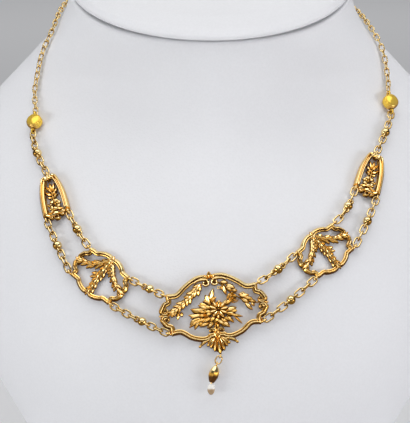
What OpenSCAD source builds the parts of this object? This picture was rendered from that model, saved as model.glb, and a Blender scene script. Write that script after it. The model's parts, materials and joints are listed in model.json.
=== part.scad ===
// Draped gold necklace of five openwork plaques joined by fine chains, laid round a plain white neck bust.
// Millimetres, +Z up. The front of the bust faces -Y. The origin is on the foot's underside, below the middle
// of the neck.

/* [Bust] */
// Height of the bust's rim where it crosses the axis
rim_height = 227; // [224:0.5:229]
// Slope of the rim in degrees, higher at the back
rim_slope = 17.5; // [14:0.5:19]
// Rise of the padded cap over the rim
cap_rise = 9; // [5:0.5:14]
// Open seam between the neck and the cap
seam = 0.4; // [0.3:0.1:0.8]

/* [Chain] */
// Wire of the links between the plaques
wire = 0.65; // [0.55:0.05:0.7]
// Width of the links between the plaques
link_width = 2.8; // [2.5:0.1:3]
// Wire of the long chain that runs behind the neck
fine_wire = 0.5; // [0.4:0.05:0.55]
// Width of the links of the long chain
fine_width = 2.1; // [1.9:0.1:2.3]
// Links of the long chain on the left, an even number
fine_links_left = 52; // [48:2:56]
// Links of the long chain on the right, an even number
fine_links_right = 48; // [44:2:52]
// Diameter of the polished balls
ball_d = 2.6; // [2.4:0.1:2.8]
// Play between two links that hold each other
play = 0.13; // [0.1:0.01:0.16]

/* [Plaques] */
// Width of the rail that frames the centre and side plaques
rail_width = 1.15; // [1:0.05:1.3]
// Height of the rail's outer rim
rail_height = 1.3; // [1.1:0.1:1.5]
// Height of the leaves' ridges over the back of a plaque
leaf_height = 1.15; // [1:0.05:1.3]
// Radius of the daisy in the middle of the centre plaque
daisy_r = 3.1; // [2.8:0.1:3.3]
// Height of the upper plaques' deep rim
upper_height = 2.1; // [1.8:0.1:2.4]

/* [Buttons and drop] */
// Diameter of the two domed buttons
button_d = 5.6; // [5:0.1:6]
// Height of a button
button_h = 3; // [2.4:0.1:3.4]
// Diameter of the pearl
pearl_d = 2.7; // [2.3:0.1:2.8]
// Length of the pearl
pearl_l = 3.8; // [3.2:0.1:4]
// Length of the ridged cap over the pearl
cap_l = 5.8; // [5.4:0.1:6.2]

/* [Hidden] */

WHITE = "whitesmoke";
GOLD = "goldenrod";
PALE_GOLD = "khaki";
CREAM = "ivory";

// Sections of the bust
// height, half width, y of the front, y of the back, fullness of the throat
BUST = [
    [0, 42, -66, 32, 0],
    [14, 44, -75, 35, 0],
    [32, 48, -84, 39, 0],
    [52, 56.5, -90, 44, 0],
    [72, 69, -93, 49, 0],
    [92, 80.5, -92.5, 53, 0],
    [112, 88.5, -88.5, 56, 0],
    [132, 92.5, -80.5, 58, 1],
    [150, 93, -67, 58, 4],
    [164, 91, -52, 57, 10],
    [176, 87, -38, 55, 17],
    [186, 80, -30, 53, 21.5],
    [195, 71.5, -31, 52, 19.5],
    [203, 64, -38, 51, 12],
    [211, 56.5, -46, 50.5, 4],
    [220, 52.2, -50, 50.5, 0],
    [230, 51.5, -51, 51, 0],
    [245, 51.5, -51, 51, 0]
];
// Sideways reach of the throat's fullness
throat_reach = 34;
// Heights of the rings that the bust is lofted through, under the sloping rim
BUST_RINGS = [3, 18, 36, 54, 72, 90, 106, 121, 135, 148, 159, 168, 176, 184, 190, 196, 201.5, 207];
bust_sides = 36;
// Roundness of the foot's edge
foot_round = 3;

// Seats of the plaques, the buttons and the drop
// x and z of the middle on the skin, turn about the outward normal, lift off the skin
CENTER_SEAT = [0.9, 125.8, 7.8, 0.4];
MID_LEFT_SEAT = [-36.9, 134.4, -30.5, 0.4];
MID_RIGHT_SEAT = [38.2, 141.8, 31, 0.4];
UPPER_LEFT_SEAT = [-54.4, 156.9, 33, 0.55];
UPPER_RIGHT_SEAT = [55.7, 163.3, -35, 0.55];
BUTTON_LEFT_SEAT = [-62.3, 177.6, 0, 0.85];
BUTTON_RIGHT_SEAT = [64, 183.8, 0, 1];
DROP_SEAT = [1.85, 108.8, -16.5, 0.4];
// Turns of a button's two rings about its middle: towards the long chain and towards the shoulder chain
BUTTON_LEFT_TURNS = [112, -78];
BUTTON_RIGHT_TURNS = [73, -104];

// Routes of the long chain from each button to the clasp, as angle round the bust and height
BACK_ROUTE_LEFT = [[-138.5, 182], [-143, 187.5], [-148.5, 194], [-155, 200.5], [-164, 208], [-177, 214.5],
    [-200, 220.5], [-230, 225.5], [-260, 227.8]];
BACK_ROUTE_RIGHT = [[-32, 191.5], [-26.5, 196.5], [-18, 202.5], [-7, 208.5], [10, 214.5],
    [30, 219.5], [55, 225], [80, 227.8]];
CLASP_SEAT = [90, 228];

// Places of the chain eyelets on each kind of plaque, in the plaque's plane
CENTER_HIGH_EYE = [15.85, 6.75];
CENTER_LOW_EYE = [15.8, -6.1];
MID_EYE = [9.7, 5.3];
UPPER_TOP_EYE = [0, 9.1];
UPPER_LOW_EYE = [4.15, -9.68];
DROP_EYE = [0, -15.6];
eyelet_r = 0.85;
eye_height = 0.75;
// Heights of a leaf's edge and of its underside over the back of a plaque
leaf_edge = 0.6;
leaf_low = 0.2;
// Stagger of the leaves of a spray
leaf_stagger = 0.08;
// Rings on the balls: radius, and distance of a ring's middle from the ball's surface
ball_eye_r = 0.85;
ball_eye_out = 0.7;
// Turn of flat and of upright links about the chain, from lying flat on the skin
FLAT = 12;
UPRIGHT = 102;
// Height of a chain's middle over the skin
chain_lift = link_width / 2 + 0.5;
fine_lift = fine_width / 2 + 0.55;
// The straight sides of a link: how far they run into its ends, and their share of its wire
bar_sink = 0.05;
bar_share = 0.97;

function unit(v) = v / norm(v);
function mix(a, b, t) = a + (b - a) * t;
function reversed(v) = [for (i = [len(v) - 1:-1:0]) v[i]];

// Smooth interpolation between the bust's rows, with slopes from the neighbouring rows
function bust_row(z, i = 0) = i >= len(BUST) - 2 || BUST[i + 1][0] > z ? i : bust_row(z, i + 1);
function bust_slope(i, c) =
    let (a = max(i - 1, 0), b = min(i + 1, len(BUST) - 1))
    (BUST[b][c] - BUST[a][c]) / (BUST[b][0] - BUST[a][0]);
function bust_at(z, c) =
    let (
        i = bust_row(z),
        h = BUST[i + 1][0] - BUST[i][0],
        t = min(max((z - BUST[i][0]) / h, 0), 1),
        s = 1 - t
    )
    s * s * (1 + 2 * t) * BUST[i][c] + t * t * (3 - 2 * t) * BUST[i + 1][c]
        + h * t * s * (s * bust_slope(i, c) - t * bust_slope(i + 1, c));

// Depth of a section from its middle to its front, with the throat's fullness, or to its back
function bust_depth(x, z, forward) =
    (bust_at(z, 3) - bust_at(z, 2)) / 2 + (forward ? bust_at(z, 4) * exp(-pow(x / throat_reach, 2)) : 0);
function bust_middle(z) = (bust_at(z, 3) + bust_at(z, 2)) / 2;

// The skin of the bust at an angle round the axis, 0 at +X and -90 in front, and a height
function skin(a, z) =
    let (x = bust_at(z, 1) * cos(a))
    [x, bust_middle(z) + bust_depth(x, z, sin(a) < 0) * sin(a), z];
function skin_normal(a, z, e = 0.1) =
    unit(cross(skin(a + e, z) - skin(a - e, z), skin(a, z + e) - skin(a, z - e)));
// Angle of the skin that lies nearest a point
function angle_at(p) =
    let (y = p.y - bust_middle(p.z))
    atan2(y / bust_depth(p.x, p.z, y < 0), p.x / bust_at(p.z, 1));
// Angle of the front skin at a given x
function front_angle(x, z) = -acos(x / bust_at(z, 1));
function rim_z(y) = rim_height + y * tan(rim_slope);

// A frame is an origin with its right, up and outward directions
function turned(p, n, turn) =
    let (r = unit(cross([0, 0, 1], n)), u = cross(n, r))
    [p, r * cos(turn) + u * sin(turn), u * cos(turn) - r * sin(turn), n];
function seat_frame(seat) =
    let (a = front_angle(seat[0], seat[1]), n = skin_normal(a, seat[1]))
    turned(skin(a, seat[1]) + seat[3] * n, n, seat[2]);
function in_frame(f, q) = f[0] + f[1] * q.x + f[2] * q.y + f[3] * q.z;
module at_frame(f) {
    multmatrix([
        [f[1].x, f[2].x, f[3].x, f[0].x],
        [f[1].y, f[2].y, f[3].y, f[0].y],
        [f[1].z, f[2].z, f[3].z, f[0].z],
        [0, 0, 0, 1]
    ])
        children();
}

// A smooth curve through flat points, in even steps between them
function spline_point(k, i, t) =
    let (a = k[max(i - 1, 0)], b = k[i], c = k[i + 1], d = k[min(i + 2, len(k) - 1)])
    (2 * b + (c - a) * t + (2 * a - 5 * b + 4 * c - d) * t * t + (3 * b - a - 3 * c + d) * t * t * t) / 2;
function curve(k, steps) =
    concat([for (i = [0:len(k) - 2]) for (j = [0:steps - 1]) spline_point(k, i, j / steps)], [k[len(k) - 1]]);
// Points of a scroll that winds round a middle as its radius shrinks
function scroll(c, r_from, r_to, a_from, turn, steps) =
    [
        for (i = [0:steps])
            let (t = i / steps, a = a_from + turn * t)
            c + mix(r_from, r_to, t) * [cos(a), sin(a)]
    ];

// Closed rings of points joined into one solid with flat ends
module loft(rings) {
    n = len(rings);
    m = len(rings[0]);
    polyhedron(
        points = [for (r = rings) for (p = r) p],
        faces = concat(
            [[for (j = [m - 1:-1:0]) j]],
            [for (i = [0:n - 2]) for (j = [0:m - 1])
                [i * m + j, i * m + (j + 1) % m, (i + 1) * m + (j + 1) % m, (i + 1) * m + j]],
            [[for (j = [0:m - 1]) (n - 1) * m + j]]
        ),
        convexity = 10
    );
}

// A rail in a plaque's plane, its profile given as across and up, narrowing by the factors in thick
module rail(path, profile, thick) {
    n = len(path);
    loft([
        for (i = [0:n - 1])
            let (t = unit(path[min(i + 1, n - 1)] - path[max(i - 1, 0)]))
            [
                for (q = profile * thick[i])
                    [path[i].x + t.y * q.x, path[i].y - t.x * q.x, q.y]
            ]
    ]);
}
module even_rail(path, profile) {
    rail(path, profile, [for (p = path) 1]);
}
function rail_profile(w, h) = [[-w / 2, 0], [w / 2, 0], [w * 0.35, h], [-w / 2, 0.6 * h]];
function stem_profile(w, h) = [[-w / 2, leaf_low], [w / 2, leaf_low], [0, h]];
// Full thickness on a rail's arc and a taper over its scroll
function tapered(n_arc, n_scroll, least) =
    concat([for (i = [1:n_arc]) 1], [for (i = [1:n_scroll]) mix(1, least, i / n_scroll)]);
// A rail that ends in a scroll, drawn from the arc to the scroll or the other way
module scrolled_rail(arc, coil, profile, least, from_scroll) {
    path = concat(arc, coil);
    thick = tapered(len(arc), len(coil), least);
    if (from_scroll)
        rail(reversed(path), profile, reversed(thick));
    else
        rail(path, profile, thick);
}

// The smallest solid round a set of points
module shell_of(points) {
    hull()
        polyhedron(points = points, faces = [[for (i = [0:len(points) - 1]) i]]);
}
// A leaf from its foot to its tip, widest near the middle, with a raised ridge along it
module leaf(foot, tip, width, rise = leaf_height) {
    l = norm(tip - foot);
    w = width / 2;
    leaf_at(foot, tip)
        shell_of([
            [0, 0, leaf_edge], [0.3 * l, -w, leaf_edge], [0.68 * l, -0.8 * w, leaf_edge], [l, 0, leaf_edge],
            [0.68 * l, 0.8 * w, leaf_edge], [0.3 * l, w, leaf_edge],
            [0.2 * l, 0, rise], [0.75 * l, 0, rise - 0.1], [0.5 * l, 0, leaf_low]
        ]);
}
// A small leaf with a plain four-cornered outline
module small_leaf(foot, tip, width, rise = leaf_height) {
    l = norm(tip - foot);
    w = width / 2;
    leaf_at(foot, tip)
        shell_of([
            [0, 0, leaf_edge], [0.45 * l, -w, leaf_edge], [l, 0, leaf_edge], [0.45 * l, w, leaf_edge],
            [0.2 * l, 0, rise], [0.7 * l, 0, rise - 0.1], [0.45 * l, 0, leaf_low]
        ]);
}
module leaf_at(foot, tip) {
    translate([foot.x, foot.y, 0])
        rotate(atan2(tip.y - foot.y, tip.x - foot.x))
            children();
}

// A spray of laurel: a stem with pairs of leaves, whose feet stand a little apart, and one at its end
module spray(knots, pairs, leaf_l, leaf_w) {
    path = curve(knots, 3);
    last = len(path) - 1;
    even_rail(curve(knots, 2), stem_profile(0.5, 0.8));
    for (k = [0:pairs - 1]) {
        i = round(mix(0.06, 0.86, k / (pairs - 1)) * last);
        t = unit(path[min(i + 1, last)] - path[max(i - 1, 0)]);
        for (side = [-1, 1]) {
            a = atan2(t.y, t.x) + side * 38;
            foot = path[i] + side * leaf_stagger * t;
            small_leaf(foot, foot + leaf_l * [cos(a), sin(a)], leaf_w);
        }
    }
    end = unit(path[last] - path[last - 1]);
    aside = leaf_stagger * [-end.y, end.x];
    small_leaf(path[last] - end * 0.4 + aside, path[last] + end * leaf_l * 0.9 - aside, leaf_w);
}

// An upright eyelet in a plaque's plane, standing along the direction of its chain
module eyelet(place, direction, r = eyelet_r, d = wire, height = eye_height) {
    translate([place.x, place.y, height])
        rotate(direction)
            rotate([90, 0, 0])
                rotate_extrude($fn = 10)
                    translate([r, 0])
                        circle(d = d, $fn = 5);
}

// The right half of the centre plaque's framing rail
module center_rail_half() {
    profile = rail_profile(rail_width, rail_height);
    scrolled_rail(
        curve([[14.9, 6.15], [11.7, 6.1], [8.9, 8.1], [6.5, 9.6], [4.3, 10.5], [2.7, 10.65]], 2),
        scroll([1.6, 9.4], 1.22, 0.5, 92, 262, 7),
        profile, 0.5, false
    );
    for (down = [0, 1])
        mirror([0, down, 0])
            scrolled_rail(
                curve([[14.5, 6.7], [14.5, 4.3], [16, 3.4], [17.2, 1.6]], 2),
                scroll([16.3, 1.2], 0.9, 0.42, 5, -235, 6),
                profile, 0.5, true
            );
    scrolled_rail(
        curve([[14.9, -6.15], [11.7, -6.05], [8.6, -8.2], [6.2, -9.15], [4.1, -9.45], [2.7, -9.1]], 2),
        scroll([1.65, -7.8], 1.25, 0.5, -72, -262, 7),
        profile, 0.5, true
    );
}

// Leaves of the bouquet as x and y of the foot, x and y of the tip, width
BOUQUET = [
    [0.4, 1.6, 0.5, 6.2, 1.9], [0.4, 1.4, -2.2, 4.9, 1.7], [-0.6, 0.9, -5.2, 1.9, 1.4],
    [-0.6, 0.2, -7.2, 0.9, 1.5], [-0.6, -0.4, -8.1, -1.4, 1.6], [-0.6, -0.8, -7.2, -3.2, 1.5],
    [-0.2, -1.4, -7.3, -5.2, 1.5], [0.2, -1.8, -5, -5.7, 1.4], [0.4, -2.4, -3.4, -5.1, 1.5],
    [1, -2.4, 2.7, -5.5, 1.5], [1.4, -2.4, 4.4, -4.9, 1.6], [2.6, -1.6, 5.7, -4.3, 1.4],
    [3, -1, 9.3, -3.6, 1.2], [3.2, -0.6, 8.6, -1.9, 1.3], [3.4, 0, 6.8, -0.6, 1.5], [3, 1.4, 6, 1.2, 1.5]
];
// Lobes of the palmette as x and y of the tip and the width
PALMETTE = [
    [-6, -11.5, 0.8], [-3.7, -11.6, 1], [-2.9, -13.1, 1.05], [-1.6, -14.3, 1.1], [0.4, -15.2, 1.3],
    [1.6, -14.3, 1.1], [2.9, -13.1, 1.05], [3.7, -11.6, 1], [6, -11.5, 0.8]
];
daisy_at = [1.7, -0.3];
petals = 11;
petals_rose = 7;

module center_plaque() {
    color(GOLD)
        at_frame(center)
            union() {
                for (side = [0, 1])
                    mirror([side, 0, 0])
                        center_rail_half();
                eyelet(across(CENTER_HIGH_EYE), ring_turn(center, TOP_LEFT, false));
                eyelet(CENTER_HIGH_EYE, ring_turn(center, TOP_RIGHT, false));
                eyelet(across(CENTER_LOW_EYE), ring_turn(center, LOW_LEFT, false));
                eyelet(CENTER_LOW_EYE, ring_turn(center, LOW_RIGHT, false));
                for (sx = [-1, 1]) {
                    small_leaf([sx * 16.3, 0], [sx * 18.3, 0], 0.9, 0.95);
                    leaf([sx * 0.9, -7], [sx * 0.2, -10.6], 1.3, 1.2);
                    small_leaf([-sx * 0.7, 10.6], [sx * 1.4, 11.5], 0.9, 1.2);
                }
                leaf([0, 9.6], [0, 12.8], 1.3, 1.2);
                for (b = BOUQUET)
                    leaf([b[0], b[1]], [b[2], b[3]], b[4]);
                for (p = PALMETTE)
                    small_leaf([p[0] * 0.06, -9.2], [p[0], p[1]], p[2], 1.25);
                even_rail(
                    curve([[0, -8.8], [-0.3, -6], [0.6, -2.5], [1.6, -0.3]], 2),
                    stem_profile(0.8, 0.9)
                );
                translate([daisy_at.x, daisy_at.y, 0])
                    for (k = [0:petals - 1])
                        rotate(k * 360 / petals)
                            leaf([0.3, 0], [daisy_r, 0], 1.5, leaf_height + 0.15);
                translate([daisy_at.x, daisy_at.y, leaf_edge])
                    cylinder(h = leaf_height - leaf_edge + 0.3, r1 = 1, r2 = 0.55, $fn = 8);
                spray(
                    [[-2.5, 9.3], [-4.2, 7.5], [-6.3, 5.8], [-8.7, 3.8], [-11.2, 2.1], [-13.4, 0.9]],
                    6, 2.4, 1.2
                );
                small_leaf([-11.6, 1.2], [-12.6, -1.9], 0.9);
                small_leaf([-13.2, 0.6], [-16.4, 0.1], 0.9);
                spray([[2.4, 9], [4.4, 6.9], [6.6, 4.5], [9, 2.6], [11.6, 1.1], [13.4, 0.4]], 6, 2.4, 1.2);
                small_leaf([13.2, 0.5], [16.4, 0.1], 0.9);
                eyelet(DROP_EYE, drop_ring_turn(center), drop_eye_r, drop_wire);
            }
}

// A quarter of the side plaques' framing rail
module mid_rail_quarter() {
    profile = rail_profile(rail_width * 0.92, rail_height * 0.92);
    scrolled_rail(
        curve([[8.35, 5.4], [8.4, 3.7], [9.6, 2.9], [10.35, 1.4]], 2),
        scroll([9.6, 0.95], 0.75, 0.4, 5, -210, 4),
        profile, 0.6, true
    );
    scrolled_rail(
        [[8.6, 5.2], [7.1, 5.25], [5.75, 5.35], [4.9, 6], [3.6, 6.65], [2.4, 7], [1.4, 7.1]],
        scroll([1.05, 6.3], 0.78, 0.4, 85, 230, 4),
        profile, 0.6, false
    );
}

// The turns are those of the rings high and near the middle, high and far, low and near, low and far
module mid_plaque(turns) {
    color(GOLD)
        union() {
            for (sx = [0, 1], sy = [0, 1])
                mirror([sx, 0, 0])
                    mirror([0, sy, 0])
                        mid_rail_quarter();
            eyelet(MID_EYE, turns[0]);
            eyelet(across(MID_EYE), turns[1]);
            eyelet([MID_EYE.x, -MID_EYE.y], turns[2]);
            eyelet(-MID_EYE, turns[3]);
            for (sx = [-1, 1]) {
                small_leaf([sx * 9.7, 0], [sx * 11.6, 0], 0.9, 0.95);
                small_leaf([0, sx * 5.6], [0, sx * 8.2], 1.2, 1.1);
            }
            spray([[-0.5, 6], [-2.3, 4], [-5, 1.6], [-8.6, 0.3]], 3, 2.5, 1.3);
            spray([[0, 6], [-0.15, 3], [-0.3, -0.4], [-0.1, -4.6]], 4, 2.5, 1.4);
            spray([[0.6, 5.9], [2.4, 4.1], [5.1, 1.7], [8.7, 0.2]], 3, 2.5, 1.3);
        }
}
module mid_plaque_left() {
    at_frame(mid_left)
        mid_plaque([
            ring_turn(mid_left, TOP_LEFT, true), ring_turn(mid_left, INNER_LEFT, false),
            ring_turn(mid_left, LOW_LEFT, true), ring_turn(mid_left, OUTER_LEFT, false)
        ]);
}
module mid_plaque_right() {
    at_frame(mid_right)
        mirror([1, 0, 0])
            mid_plaque([
                180 - ring_turn(mid_right, TOP_RIGHT, true), 180 - ring_turn(mid_right, INNER_RIGHT, false),
                180 - ring_turn(mid_right, LOW_RIGHT, true), 180 - ring_turn(mid_right, OUTER_RIGHT, false)
            ]);
}

// The right half of the upper plaques' deep grooved rim, with half the curl over it and the scallop under it
module upper_rim_half() {
    w = 2;
    h = upper_height;
    grooved = [[-w / 2, 0], [w / 2, 0], [w / 2, h * 0.85], [w * 0.25, h], [0, h * 0.7], [-w / 2, h * 0.8]];
    even_rail(curve([[3.9, -8.7], [3.8, -4], [3.45, 0.5], [2.7, 4.4], [2, 6.6]], 2), grooved);
    even_rail(curve([[2.6, 5.8], [2.3, 7], [1.4, 7.45], [0.5, 7], [-0.2, 6]], 2), rail_profile(1, h));
    even_rail(curve([[-0.2, -8.7], [1, -9.3], [2.3, -9.3], [3.3, -8.6], [4, -7.6]], 2), rail_profile(1.2, h));
}

// The turns are those of the ring at the top, the low ring near the middle and the low ring far from it
module upper_plaque(turns) {
    color(GOLD)
        union() {
            for (side = [0, 1])
                mirror([side, 0, 0])
                    upper_rim_half();
            eyelet(UPPER_TOP_EYE, turns[0]);
            eyelet(UPPER_LOW_EYE, turns[1]);
            eyelet(across(UPPER_LOW_EYE), turns[2]);
            leaf([0.06, 5.9], [-0.04, 8.5], 1.2);
            for (sx = [-1, 1]) {
                leaf([sx * 0.06, -0.75], [sx * 2.3, 1.6], 1.2);
                leaf([sx * 0.04, 0.85], [sx * 1.6, 4.2], 1.2);
                leaf([sx * 0.2, -6.7], [sx * 3.2, -8.1], 1.1);
                leaf([sx * 0.25, -8.8], [sx * 1.4, -11], 1.2, upper_height);
            }
            leaf([-0.05, -7.6], [0.07, -11.7], 1.5, upper_height + 0.1);
            even_rail([[0.08, -9], [-0.05, -2], [0.06, 2]], stem_profile(0.8, 0.9));
            translate([0, -5, 0])
                for (k = [0:petals_rose - 1])
                    rotate((k + 0.2) * 360 / petals_rose)
                        leaf([0.2, 0], [2.2 + 0.08 * (k % 3), 0], 1.7, leaf_height + 0.3 + 0.07 * (k % 3));
        }
}
module upper_plaque_left() {
    at_frame(upper_left)
        upper_plaque([
            ring_turn(upper_left, SHOULDER_LEFT, false), ring_turn(upper_left, INNER_LEFT, true),
            ring_turn(upper_left, OUTER_LEFT, true)
        ]);
}
module upper_plaque_right() {
    at_frame(upper_right)
        mirror([1, 0, 0])
            upper_plaque([
                180 - ring_turn(upper_right, SHOULDER_RIGHT, false),
                180 - ring_turn(upper_right, INNER_RIGHT, true),
                180 - ring_turn(upper_right, OUTER_RIGHT, true)
            ]);
}

// A ring of wire round its own middle, in the plane of x and y
module wire_ring(r, d) {
    rotate_extrude($fn = 24)
        translate([r, 0])
            circle(d = d, $fn = 16);
}

// One oval link round its own middle, long in x, in the plane of x and y
module link(length, width, thick) {
    r = (width - thick) / 2;
    half = (length - width) / 2;
    for (side = [0, 1])
        mirror([side, 0, 0])
            translate([half, 0, 0])
                rotate(-90)
                    rotate_extrude(angle = 180, $fn = 24)
                        translate([r, 0])
                            circle(d = thick, $fn = 16);
    for (side = [-1, 1])
        translate([-half - bar_sink, side * r, 0])
            rotate([0, 90, 0])
                cylinder(h = 2 * (half + bar_sink), d = thick * bar_share, $fn = 16);
}

// A polished ball with a ring at each end, in line with x, its rings turned about x
module ball_unit(turn_in, turn_out) {
    sphere(d = ball_d, $fn = 32);
    for (e = [[-1, turn_in], [1, turn_out]])
        rotate([e[1], 0, 0])
            translate([e[0] * (ball_d / 2 + ball_eye_out), 0, 0])
                wire_ring(ball_eye_r, wire);
}
ball_half = ball_d / 2 + ball_eye_out + ball_eye_r;

// A frame on a chain between two points, x along the chain and z off the skin, turned about x
function chain_frame(a, b, turn) =
    let (
        p = (a + b) / 2,
        x = unit(b - a),
        n0 = skin_normal(angle_at(p), p.z),
        n = unit(n0 - x * (n0 * x)),
        y = cross(n, x)
    )
    [p, x, y * cos(turn) + n * sin(turn), n * cos(turn) - y * sin(turn)];

center = seat_frame(CENTER_SEAT);
mid_left = seat_frame(MID_LEFT_SEAT);
mid_right = seat_frame(MID_RIGHT_SEAT);
upper_left = seat_frame(UPPER_LEFT_SEAT);
upper_right = seat_frame(UPPER_RIGHT_SEAT);
left_button = seat_frame(BUTTON_LEFT_SEAT);
right_button = seat_frame(BUTTON_RIGHT_SEAT);
function eye_at(f, e) = in_frame(f, [e.x, e.y, eye_height]);
// The same place on the other side of a plaque
function across(e) = [-e.x, e.y];
// Distance of a ring's middle from the middle of a button
button_eye = button_d / 2 + 0.95;
function button_ring(f, turn) = eye_at(f, button_eye * [cos(turn), sin(turn)]);

// The stretches between the plaques
// first eyelet, last eyelet, units in order with L for a link and B for the ball, slack downwards,
// and where it isn't straight, the swing of its middle round the bust in degrees
SHOULDER_LEFT = [
    button_ring(left_button, BUTTON_LEFT_TURNS[1]), eye_at(upper_left, UPPER_TOP_EYE), "LLLBLLL", 1, -1.4];
SHOULDER_RIGHT = [
    button_ring(right_button, BUTTON_RIGHT_TURNS[1]), eye_at(upper_right, UPPER_TOP_EYE), "LLLBLLL", 0.4, 2];
INNER_LEFT = [eye_at(upper_left, UPPER_LOW_EYE), eye_at(mid_left, across(MID_EYE)), "LLBLL", 1.6];
INNER_RIGHT = [eye_at(upper_right, across(UPPER_LOW_EYE)), eye_at(mid_right, MID_EYE), "LLBLL", 2];
OUTER_LEFT = [eye_at(upper_left, across(UPPER_LOW_EYE)), eye_at(mid_left, -MID_EYE), "LLLBLLL", 1];
OUTER_RIGHT = [eye_at(upper_right, UPPER_LOW_EYE), eye_at(mid_right, [MID_EYE.x, -MID_EYE.y]), "LLLBLLL", 1];
TOP_LEFT = [eye_at(mid_left, MID_EYE), eye_at(center, across(CENTER_HIGH_EYE)), "LLBL", 1];
TOP_RIGHT = [eye_at(mid_right, across(MID_EYE)), eye_at(center, CENTER_HIGH_EYE), "LLBLL", 1.5];
LOW_LEFT = [
    eye_at(mid_left, [MID_EYE.x, -MID_EYE.y]), eye_at(center, across(CENTER_LOW_EYE)), "LLLLBLLL", 1];
LOW_RIGHT = [eye_at(mid_right, -MID_EYE), eye_at(center, CENTER_LOW_EYE), "LLLBLLL", 1];

// A stretch's line, bent at its middle to rest on the skin, as fine points
function stretch_points(s) =
    let (
        straight = (s[0] + s[1]) / 2,
        m = straight - [0, 0, s[3]],
        a = angle_at(m) + (len(s) > 4 ? s[4] : 0),
        rest = skin(a, m.z) + chain_lift * skin_normal(a, m.z),
        bend = 2 * rest - straight
    )
    [for (i = [0:40]) let (t = i / 40) s[0] * (1 - t) * (1 - t) + bend * 2 * t * (1 - t) + s[1] * t * t];
// Direction of a stretch at its first or last ring, in a plaque's plane
function ring_turn(f, s, first) =
    let (p = stretch_points(s), n = len(p) - 1, d = first ? p[3] - p[0] : p[n - 3] - p[n])
    atan2(d * f[2], d * f[1]);
// Lengths run along a line of points
function run_length(p, i = 0, total = 0) =
    i == len(p) - 1 ? [total] : concat([total], run_length(p, i + 1, total + norm(p[i + 1] - p[i])));
function point_along(p, run, s) =
    [for (c = [0:2]) lookup(s, [for (i = [0:len(p) - 1]) [run[i], p[i][c]]])];

function count_of(units, kind) = len([for (u = units) if (u == kind) 1]);
// Distance from an eyelet's middle to where it meets the next unit, and the room that a ball takes
eye_reach = (wire + play) / 2;
ball_span = 2 * ball_half - wire - play;
// Room that each link of a stretch takes, so that its units just fill it
function link_span(s) =
    let (p = stretch_points(s), run = run_length(p))
    (run[len(run) - 1] - 2 * eye_reach - count_of(s[2], "B") * ball_span) / count_of(s[2], "L");
// Where the units of a stretch meet, as lengths along it
function meetings(s, span, i = 0, at = eye_reach) =
    i == len(s[2]) ? [at] : concat([at], meetings(s, span, i + 1, at + (s[2][i] == "B" ? ball_span : span)));
function ball_place(s) = search("B", s[2])[0];
// Links lie flat beside an eyelet and alternate from both ends towards the ball
function link_turn(s, i) =
    let (k = i < ball_place(s) ? i : len(s[2]) - 1 - i)
    k % 2 == 0 ? FLAT : UPRIGHT;

module stretch_links(s) {
    p = stretch_points(s);
    run = run_length(p);
    span = link_span(s);
    m = meetings(s, span);
    color(PALE_GOLD)
        for (i = [0:len(s[2]) - 1])
            if (s[2][i] == "L")
                at_frame(chain_frame(
                    point_along(p, run, m[i]), point_along(p, run, m[i + 1]), link_turn(s, i)
                ))
                    link(span + 2 * wire + play, link_width, wire);
}
module stretch_ball(s) {
    p = stretch_points(s);
    run = run_length(p);
    m = meetings(s, link_span(s));
    i = ball_place(s);
    color(PALE_GOLD)
        at_frame(chain_frame(point_along(p, run, m[i]), point_along(p, run, m[i + 1]), 0))
            ball_unit(link_turn(s, i - 1) + 90, link_turn(s, i + 1) + 90);
}

module shoulder_links_left() { stretch_links(SHOULDER_LEFT); }
module shoulder_ball_left() { stretch_ball(SHOULDER_LEFT); }
module shoulder_links_right() { stretch_links(SHOULDER_RIGHT); }
module shoulder_ball_right() { stretch_ball(SHOULDER_RIGHT); }
module inner_links_left() { stretch_links(INNER_LEFT); }
module inner_ball_left() { stretch_ball(INNER_LEFT); }
module inner_links_right() { stretch_links(INNER_RIGHT); }
module inner_ball_right() { stretch_ball(INNER_RIGHT); }
module outer_links_left() { stretch_links(OUTER_LEFT); }
module outer_ball_left() { stretch_ball(OUTER_LEFT); }
module outer_links_right() { stretch_links(OUTER_RIGHT); }
module outer_ball_right() { stretch_ball(OUTER_RIGHT); }
module top_links_left() { stretch_links(TOP_LEFT); }
module top_ball_left() { stretch_ball(TOP_LEFT); }
module top_links_right() { stretch_links(TOP_RIGHT); }
module top_ball_right() { stretch_ball(TOP_RIGHT); }
module low_links_left() { stretch_links(LOW_LEFT); }
module low_ball_left() { stretch_ball(LOW_LEFT); }
module low_links_right() { stretch_links(LOW_RIGHT); }
module low_ball_right() { stretch_ball(LOW_RIGHT); }

// A domed button with a ring for the long chain and one for the shoulder chain
module button(f, turns) {
    wall = button_h * 0.55;
    chamfer = 0.4;
    r = button_d / 2;
    color(PALE_GOLD)
        at_frame(f) {
            rotate_extrude($fn = 48)
                polygon(concat(
                    [[0, 0], [r - chamfer, 0], [r, chamfer]],
                    [for (i = [0:8]) let (a = i * 90 / 8) [r * cos(a), wall + (button_h - wall) * sin(a)]]
                ));
            for (turn = turns)
                rotate(turn)
                    translate([button_eye, 0, eye_height])
                        rotate([90, 0, 0])
                            wire_ring(eyelet_r, wire);
        }
}
module button_left() { button(left_button, BUTTON_LEFT_TURNS); }
module button_right() { button(right_button, BUTTON_RIGHT_TURNS); }

// The long chain: fine points along its route, then links of one length that fill it
function route_points(route) =
    [for (q = curve(route, 12)) skin(q[0], q[1]) + fine_lift * skin_normal(q[0], q[1])];
clasp_l = 7;
clasp_d = 3;
clasp_normal = skin_normal(CLASP_SEAT[0], CLASP_SEAT[1]);
clasp_at = turned(skin(CLASP_SEAT[0], CLASP_SEAT[1]) + (clasp_d / 2 + 0.4) * clasp_normal, clasp_normal, 0);
clasp_eye = clasp_l / 2 + 0.95;
// Droop of the clasp's rings towards the chains that leave it
clasp_droop = 12;
fine_reach = (fine_wire + play) / 2;

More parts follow.
